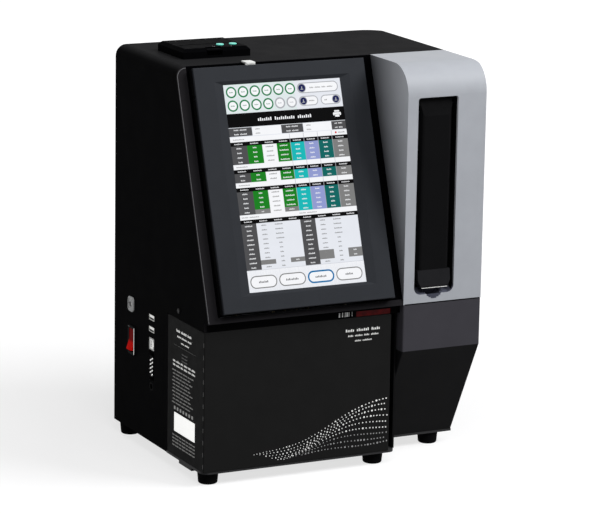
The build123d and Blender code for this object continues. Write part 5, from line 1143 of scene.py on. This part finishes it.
@dataclass
class ReagentPack:
    """The slide-in pack's printing and its soft bags."""

    width: float = 217.0
    depth: float = 92.4
    bags: int = 4
    bag_gap: float = 2.0
    wave_start: float = 30.0
    wave_foot: float = 9.0
    wave_rise: float = 48.0
    wave_edge: float = 2.5  # how far the dots stay from the case's edges
    dot_rows: int = 9
    white_rows: int = 6
    row_start: Span = (58.0, 7.0)  # where the first row starts, and how much later each next one does
    dot_size: Span = (0.5, 0.42)  # a dot's radius at the left, and what it gains to the right
    dot_swell: Span = (0.9, 1.35)  # how plain and swollen dots are scaled
    dot_plain: float = 0.8  # the share of plain dots
    dot_step: Span = (3.3, 1.2)  # the least step between dots, and what chance adds at most
    front_words: tuple[tuple[Span, float, float, int], ...] = (
        ((163.0, 206.0), 136.5, 3.0, 3), ((166.0, 202.0), 130.6, 2.0, 4), ((174.0, 194.0), 125.0, 1.8, 2))
    side_words: tuple[tuple[Span, float, float, int], ...] = (
        ((22.0, 62.0), 137.0, 2.8, 3), ((24.0, 62.0), 131.0, 2.0, 3), ((34.0, 54.0), 125.4, 1.8, 2),
        ((14.0, 70.0), 103.0, 2.2, 6), ((14.0, 70.0), 98.8, 2.2, 6))

    def front_print(self) -> None:
        """Print the pack's front: three lines of words and a wave of dots."""
        sheet = MarkSheet("pack_front_print", FRONT.at(LEFT, PACK_FRONT, FLOOR))
        for across, up, height, parts in self.front_words:
            sheet.words(across, up, height, INK_WHITE, parts)
        self.dot_wave(sheet)
        sheet.lay("pack", "pack_print")

    def crest(self, x: float, row: int) -> float:
        """Give the height of one row of the wave.

        Args:
            x: the place across, in millimetres.
            row: the row's number, from the top.

        Returns:
            The height above the pack's foot.
        """
        share = (x - self.wave_start) / (self.width - self.wave_start)
        rise = self.wave_rise / (1.0 + math.exp(-8.0 * (share - 0.56)))
        ripple = 3.0 * math.sin(share * 8.0 + row * 0.5)
        return self.wave_foot + rise * (1.0 - row * 0.09) + ripple - row * 1.1

    def dot_wave(self, sheet: MarkSheet) -> None:
        """Print rows of small dots that follow a wave, finer towards the left.

        Args:
            sheet: the front's sheet of marks.
        """
        chance = random.Random(7)
        for row in range(self.dot_rows):
            x = self.row_start[0] + row * self.row_start[1]
            ink = INK_WHITE if row < self.white_rows else INK_GREY
            while x < self.width - self.wave_edge:
                z = self.crest(x, row)
                swell = self.dot_swell[chance.random() > self.dot_plain]
                size = (self.dot_size[0] + self.dot_size[1] * (x / self.width) ** 2) * swell
                if z > self.wave_edge:
                    sheet.disc((x, z), size, ink, 1, 8)
                x += self.dot_step[0] + self.dot_step[1] * chance.random()

    def side_print(self) -> None:
        """Print the pack's left side: a dashed edge, headings, lines of notes and a bare label; the headings,
        notes and label glow as painted light.
        """
        sheet = MarkSheet("pack_side_print", SIDE.at(LEFT, PACK_FRONT + self.depth, FLOOR))
        for number in range(11):
            low = 4.0 + number * 13.0
            sheet.plate((self.depth - 2.3, self.depth - 1.7), (low, low + 4.6), INK_GREY)
        for across, up, height, parts in self.side_words:
            sheet.words(across, up, height, INK_BRIGHT_GLOW, parts)
        sheet.plate((16.0, 70.0), (120.4, 120.6), INK_GREY)
        for number in range(3):
            sheet.words((36.0, 50.0), 114.0 - number * 3.6, 1.5, INK_GREY)
        for number in range(10):
            across = (14.0 if number % 3 else 12.0, 66.0 - (number * 7) % 11)
            sheet.words(across, 93.0 - number * 3.9, 1.5, INK_SOFT_GLOW, 4 + number % 3)
        for number in range(7):
            sheet.plate((17.0 + number * 7.4, 21.0 + number * 7.4), (50.5, 54.0), INK_SOFT_GLOW, 1, 0.6)
        sheet.plate((18.0, 70.0), (27.0, 47.5), LABEL_WHITE_GLOW, 2, 0.5)
        for number in range(4):
            sheet.words((14.0, 72.0), 22.5 - number * 3.7, 1.7, INK_SOFT_GLOW, 7)
        sheet.lay("pack", "pack_print")

    def pouch(self, mesh: bmesh.types.BMesh, low: Vector, high: Vector) -> None:
        """Shape one filled pouch that stands on a gusset and is sealed at its ends and top.

        Args:
            mesh: the mesh that it joins.
            low: the lowest corner of its room, in metres.
            high: the highest corner.
        """
        made = bmesh.ops.create_cube(mesh, size=2.0)["verts"]
        others = set(mesh.verts) - set(made)
        edges = list({edge for vertex in made for edge in vertex.link_edges})
        bmesh.ops.subdivide_edges(mesh, edges=edges, cuts=11, use_grid_fill=True)
        made = [vertex for vertex in mesh.verts if vertex not in others]
        for vertex in made:
            u, v, w = vertex.co
            crown = max(1.0 - abs(v) ** 3.4, 0.0) ** 0.5 * max(1.0 - max(w, 0.0) ** 4.0, 0.0) ** 0.5
            crease = 0.02 * math.sin(9.0 * w + 4.0 * v) * (1.0 - abs(v)) * abs(u)
            vertex.co = (u * (0.04 + 0.93 * crown) + math.copysign(crease, u),
                         v * (0.99 - 0.05 * (1.0 - w * w)), w - 0.03 * (1.0 - v * v) * max(w, 0.0))
        bmesh.ops.scale(mesh, vec=(high - low) / 2, verts=made)
        bmesh.ops.translate(mesh, vec=(high + low) / 2, verts=made)

    def pouches(self) -> None:
        """Hang the filled pouches in the pack, in place of their plain solids."""
        low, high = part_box("reagent_bags")
        mesh = bmesh.new()
        gap = self.bag_gap * MM
        width = (high.x - low.x - (self.bags - 1) * gap) / self.bags
        for number in range(self.bags):
            start = low.x + number * (width + gap)
            self.pouch(mesh, Vector((start, low.y, low.z)), Vector((start + width, high.y, high.z)))
        bmesh.ops.recalc_face_normals(mesh, faces=mesh.faces)
        data = mesh_data("reagent_pouches", mesh, BAG_FILM.made())
        data.shade_smooth()
        piece = carried(data, "pack")
        rounding = piece.modifiers.new("rounding", "SUBSURF")
        rounding.levels = rounding.render_levels = 1
        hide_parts("reagent_bags")

    def build(self) -> None:
        """Fill the pack and print it."""
        self.pouches()
        self.front_print()
        self.side_print()


@dataclass
class SamplerTower:
    """The marks on the silver tower and its flap: a seam, a painted highlight and painted shade."""

    seam_height: float = 175.4
    seam: float = 1.2
    seam_inset: float = 1.5
    lip_low: float = 192.3
    lip_half: float = 15.3
    notch_low: float = 180.6
    notch_steps: tuple[Triple, ...] = ((8.4, 2.9, 5.0), (6.2, 1.4, 4.6), (3.4, 0.0, 4.0))

    def build(self) -> None:
        """Draw the joint over the band, a painted highlight on the flap's grip and painted shade at the thumb
        notch's foot.
        """
        low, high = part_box("tower_cover")
        front, right = low.y / MM, (high.x - low.x) / MM - self.seam_inset
        seam = MarkSheet("tower_seam", FRONT.at(low.x / MM, front, self.seam_height))
        seam.plate((self.seam_inset, right), (0.0, self.seam), GAP_AND_SHADE_BLACK)
        seam.lay("chassis", "tower_dark")
        low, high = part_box("sampler_flap")
        middle = (low.x + high.x) / 2 / MM
        lip = MarkSheet("lip_highlight", FRONT.at(middle - self.lip_half, low.y / MM, self.lip_low))
        lip.plate((0.0, 2 * self.lip_half), (0.0, 0.6), INK_WHITE)
        lip.lay("flap", "black_plastic")
        notch = MarkSheet("notch_foot_shade", FRONT.at(middle, front, self.notch_low))
        for layer, (half, start, end) in enumerate(self.notch_steps, 1):
            notch.plate((-half, half), (start, end), NOTCH_SHADE, layer, 0.8)
        notch.lay("chassis", "tower_dark")


@dataclass
class RoofPrinter:
    """The marks on the printer's deck."""

    deck: float = 440.5
    marks: tuple[tuple[Span, float, Finish, int, int], ...] = (
        ((84.5, 124.4), 0.8, INK_GREY, 1, 12), ((66.0, 128.0), 1.4, INK_GREY, 1, 16),
        ((66.0, 128.0), 0.9, PRINTER_BLACK, 2, 16))

    def build(self) -> None:
        """Mark the deck."""
        sheet = MarkSheet("deck_marks", TOP.at(LEFT, PACK_FRONT, self.deck))
        for mark in self.marks:
            sheet.disc(*mark)
        sheet.lay("chassis", "white_plastic")


@dataclass
class SocketField:
    """The small things in the sockets and round the mains switch on the left side, some in ink that glows as
    painted light, with a painted highlight on the switch frame.
    """

    socket_y: float = PACK_FRONT + 135.0
    mouth: float = 0.9  # how deep the tongues' sheet lies
    usb_heights: Span = (138.4, 151.4)
    lan_height: float = 122.4
    serial_height: float = 97.8
    pin_pitch: float = 4.4
    pin_row: float = 2.1
    pin_width: float = 1.4
    contact_radius: float = 1.0
    contact_length: float = 13.0
    contact_depth: float = 5.9  # how deep the middle of the inlet's pin lies
    contact_edge: float = 0.4
    inlet: Span = (PACK_FRONT + 189.0, 154.3)
    switch: Span = (PACK_FRONT + 185.7, 114.9)

    def port_marks(self) -> None:
        """Fill the data sockets' mouths with their pale tongues and contacts; the tongues glow as painted
        light.
        """
        sheet = MarkSheet("port_tongues", SIDE.at(COVER_LEFT + self.mouth, self.socket_y, 0.0), 0.1)
        for height in self.usb_heights:
            sheet.plate((-5.4, 5.4), (height - 0.2, height + 2.0), INK_BRIGHT_GLOW, 5)
            sheet.plate((-4.6, 4.6), (height - 1.2, height - 0.7), INK_GREY, 5)
        sheet.plate((-3.7, 3.7), (self.lan_height - 4.9, self.lan_height + 4.9), INK_BRIGHT_GLOW, 5)
        for number in range(8):
            up = self.lan_height - 3.5 + number
            sheet.plate((-3.2, 0.6), (up - 0.22, up + 0.22), INK_GREY, 6)
        sheet.lay("chassis", "white_plastic")

    def serial_pins(self) -> None:
        """Set the two rows of contacts on the serial socket, in ink that glows as painted light."""
        pins = MarkSheet("serial_contacts", SIDE.at(COVER_LEFT, self.socket_y, 0.0), 0.1)
        for across, count in ((-self.pin_row, 5), (self.pin_row, 4)):
            for number in range(count):
                up = self.serial_height + (number - (count - 1) / 2) * self.pin_pitch
                pins.line((-across - 1.6, up - 0.9), (-across + 1.6, up + 0.9), self.pin_width, INK_BRIGHT_GLOW)
        pins.lay("chassis", "steel")

    def switch_marks(self) -> None:
        """Paint a highlight on the frame's front edge and its upper corner."""
        frame_highlight = MarkSheet("switch_frame_highlight", SIDE.at(COVER_LEFT - 2.0, *self.switch))
        frame_highlight.plate((7.3, 8.4), (-14.6, 14.6), INK_BRIGHT_GLOW)
        frame_highlight.plate((-8.0, -4.0), (14.1, 14.8), INK_GREY)
        frame_highlight.lay("chassis", "inlet_white")

    def inlet_pin(self) -> None:
        """Stand the contact pin in the power inlet and groove the inlet's face."""
        mesh = bmesh.new()
        turn = Matrix.Rotation(math.radians(-90.0), 4, "Y")
        place = Matrix.Translation(Vector((COVER_LEFT + self.contact_depth, *self.inlet)) * MM) @ turn
        radius = self.contact_radius * MM
        bmesh.ops.create_cone(mesh, cap_ends=True, cap_tris=False, segments=20, radius1=radius,
                              radius2=radius, depth=self.contact_length * MM, matrix=place)
        rim = [edge for edge in mesh.edges if all(vertex.co.x < COVER_LEFT * MM for vertex in edge.verts)]
        bmesh.ops.bevel(mesh, geom=rim, offset=self.contact_edge * MM, offset_type="OFFSET", affect="EDGES",
                        segments=3, profile=0.5, material=-1)
        carried(mesh_data("inlet_pin", mesh, STEEL.made()), "chassis")
        groove = MarkSheet("inlet_groove", SIDE.at(COVER_LEFT - 1.6, *self.inlet))
        groove.plate((-4.4, -3.5), (-5.6, 5.6), JACK_BLACK)
        groove.lay("chassis", "black_plastic")

    def build(self) -> None:
        """Fill the sockets."""
        self.port_marks()
        self.serial_pins()
        self.switch_marks()
        self.inlet_pin()


@dataclass
class Studio:
    """The floor, the soft lamps, the white surround and the camera, in metres."""

    azimuth: float = -26.52412
    elevation: float = 12.86531
    roll: float = 0.99423
    lens: float = 190.15
    sensor: float = 36.0
    clip: Span = (0.05, 60.0)
    eye: Triple = (-1.47869, -2.97330, 0.96772)
    floor_side: float = 24.0
    ambient: float = 0.12
    floor_glow: Span = (0.72, 1.0)  # how brightly the floor shines near the instrument and far out
    glow_reach: Span = (250.0, 1300.0)  # where it starts to brighten and is full, in millimetres
    aim: Triple = (0.0, 0.0, 0.22)
    lamps: tuple[tuple[str, Triple, float, float], ...] = (  # name, place, side and watts
        ("key_light", (1.76, -1.6, 2.36), 1.4, 95.0), ("soft_light", (-0.27, -1.62, 2.35), 1.6, 35.0),
        ("side_fill", (-2.2, -1.05, 1.1), 1.6, 5.0))

    def camera(self) -> None:
        """Stand the camera where the photograph was taken from."""
        a, e, r = (math.radians(angle) for angle in (self.azimuth, self.elevation, self.roll))
        back = Vector((math.sin(a) * math.cos(e), -math.cos(a) * math.cos(e), math.sin(e)))
        right = Vector((math.cos(a), math.sin(a), 0.0))
        up = back.cross(right)
        axes = Matrix((right * math.cos(r) + up * math.sin(r), up * math.cos(r) - right * math.sin(r), back))
        data = bpy.data.cameras.new("camera")
        data.lens, data.sensor_width, data.sensor_fit = self.lens, self.sensor, "HORIZONTAL"
        data.clip_start, data.clip_end = self.clip
        eye = bpy.data.objects.new("camera", data)
        eye.matrix_world = Matrix.Translation(self.eye) @ axes.transposed().to_4x4()
        bpy.context.scene.collection.objects.link(eye)
        bpy.context.scene.camera = eye

    def seen_share(self, sheet: NodeSheet) -> Socket:
        """Give 1 where a camera, mirror or clear ray looks, and 0 for other rays.

        Args:
            sheet: the nodes that it joins.

        Returns:
            The share.
        """
        path = sheet.add("ShaderNodeLightPath").outputs
        both = sheet.math("MAXIMUM", path["Is Camera Ray"], path["Is Glossy Ray"])
        return sheet.math("MAXIMUM", both, path["Is Transmission Ray"])

    def floor(self) -> None:
        """Lay the pale floor."""
        mesh = bmesh.new()
        bmesh.ops.create_grid(mesh, x_segments=2, y_segments=2, size=self.floor_side / 2)
        sheet = NodeSheet(bpy.data.materials.new("floor_pale"))
        away = sheet.vector("LENGTH", sheet.place(), out="Value")
        glow = sheet.ramp(away, *self.glow_reach, *self.floor_glow)
        pale = sheet.close({
            "Base Color": sheet.shade((146, 146, 147), 60.0, 0.02), "Roughness": 0.9,
            "Specular IOR Level": 0.0, "Emission Color": (1.0, 1.0, 1.0, 1.0),
            "Emission Strength": sheet.math("MULTIPLY", self.seen_share(sheet), glow)})
        floor = bpy.data.objects.new("floor", mesh_data("floor", mesh, pale))
        bpy.context.scene.collection.objects.link(floor)

    def surround(self) -> None:
        """Make the world white to the eye and soft as a light."""
        world = bpy.data.worlds.new("surround")
        sheet = NodeSheet(world)
        strength = sheet.ramp(self.seen_share(sheet), 0.0, 1.0, self.ambient)
        light = sheet.add("ShaderNodeBackground", {"Color": (1.0, 1.0, 1.0, 1.0), "Strength": strength})
        sheet.add("ShaderNodeOutputWorld", {"Surface": light.outputs[0]})
        bpy.context.scene.world = world

    def lamp(self, name: str, place: Triple, size: float, power: float) -> None:
        """Hang a soft square lamp that faces the instrument.

        Args:
            name: the lamp's name.
            place: where it hangs.
            size: its side.
            power: its power in watts.
        """
        data = bpy.data.lights.new(name, "AREA")
        data.size, data.energy = size, power
        lamp = bpy.data.objects.new(name, data)
        way = Vector(self.aim) - Vector(place)
        lamp.matrix_world = Matrix.Translation(place) @ way.to_track_quat("-Z", "Y").to_matrix().to_4x4()
        bpy.context.scene.collection.objects.link(lamp)

    def build(self) -> None:
        """Set up the studio."""
        self.camera()
        self.floor()
        self.surround()
        for lamp in self.lamps:
            self.lamp(*lamp)
        bpy.context.scene.view_settings.view_transform = "Standard"


def main() -> None:
    """Dress, mark and light the whole instrument, one sub-assembly after another."""
    logging.basicConfig(level=logging.INFO, format="%(name)s: %(message)s")
    dress()
    for part in (Studio(), Housing(), ScreenImage(), ScanBeam(), ReagentPack(), SamplerTower(), RoofPrinter(),
                 SocketField()):
        part.build()
        log.info("%s is done", type(part).__name__)


if __name__ == "__main__":
    main()
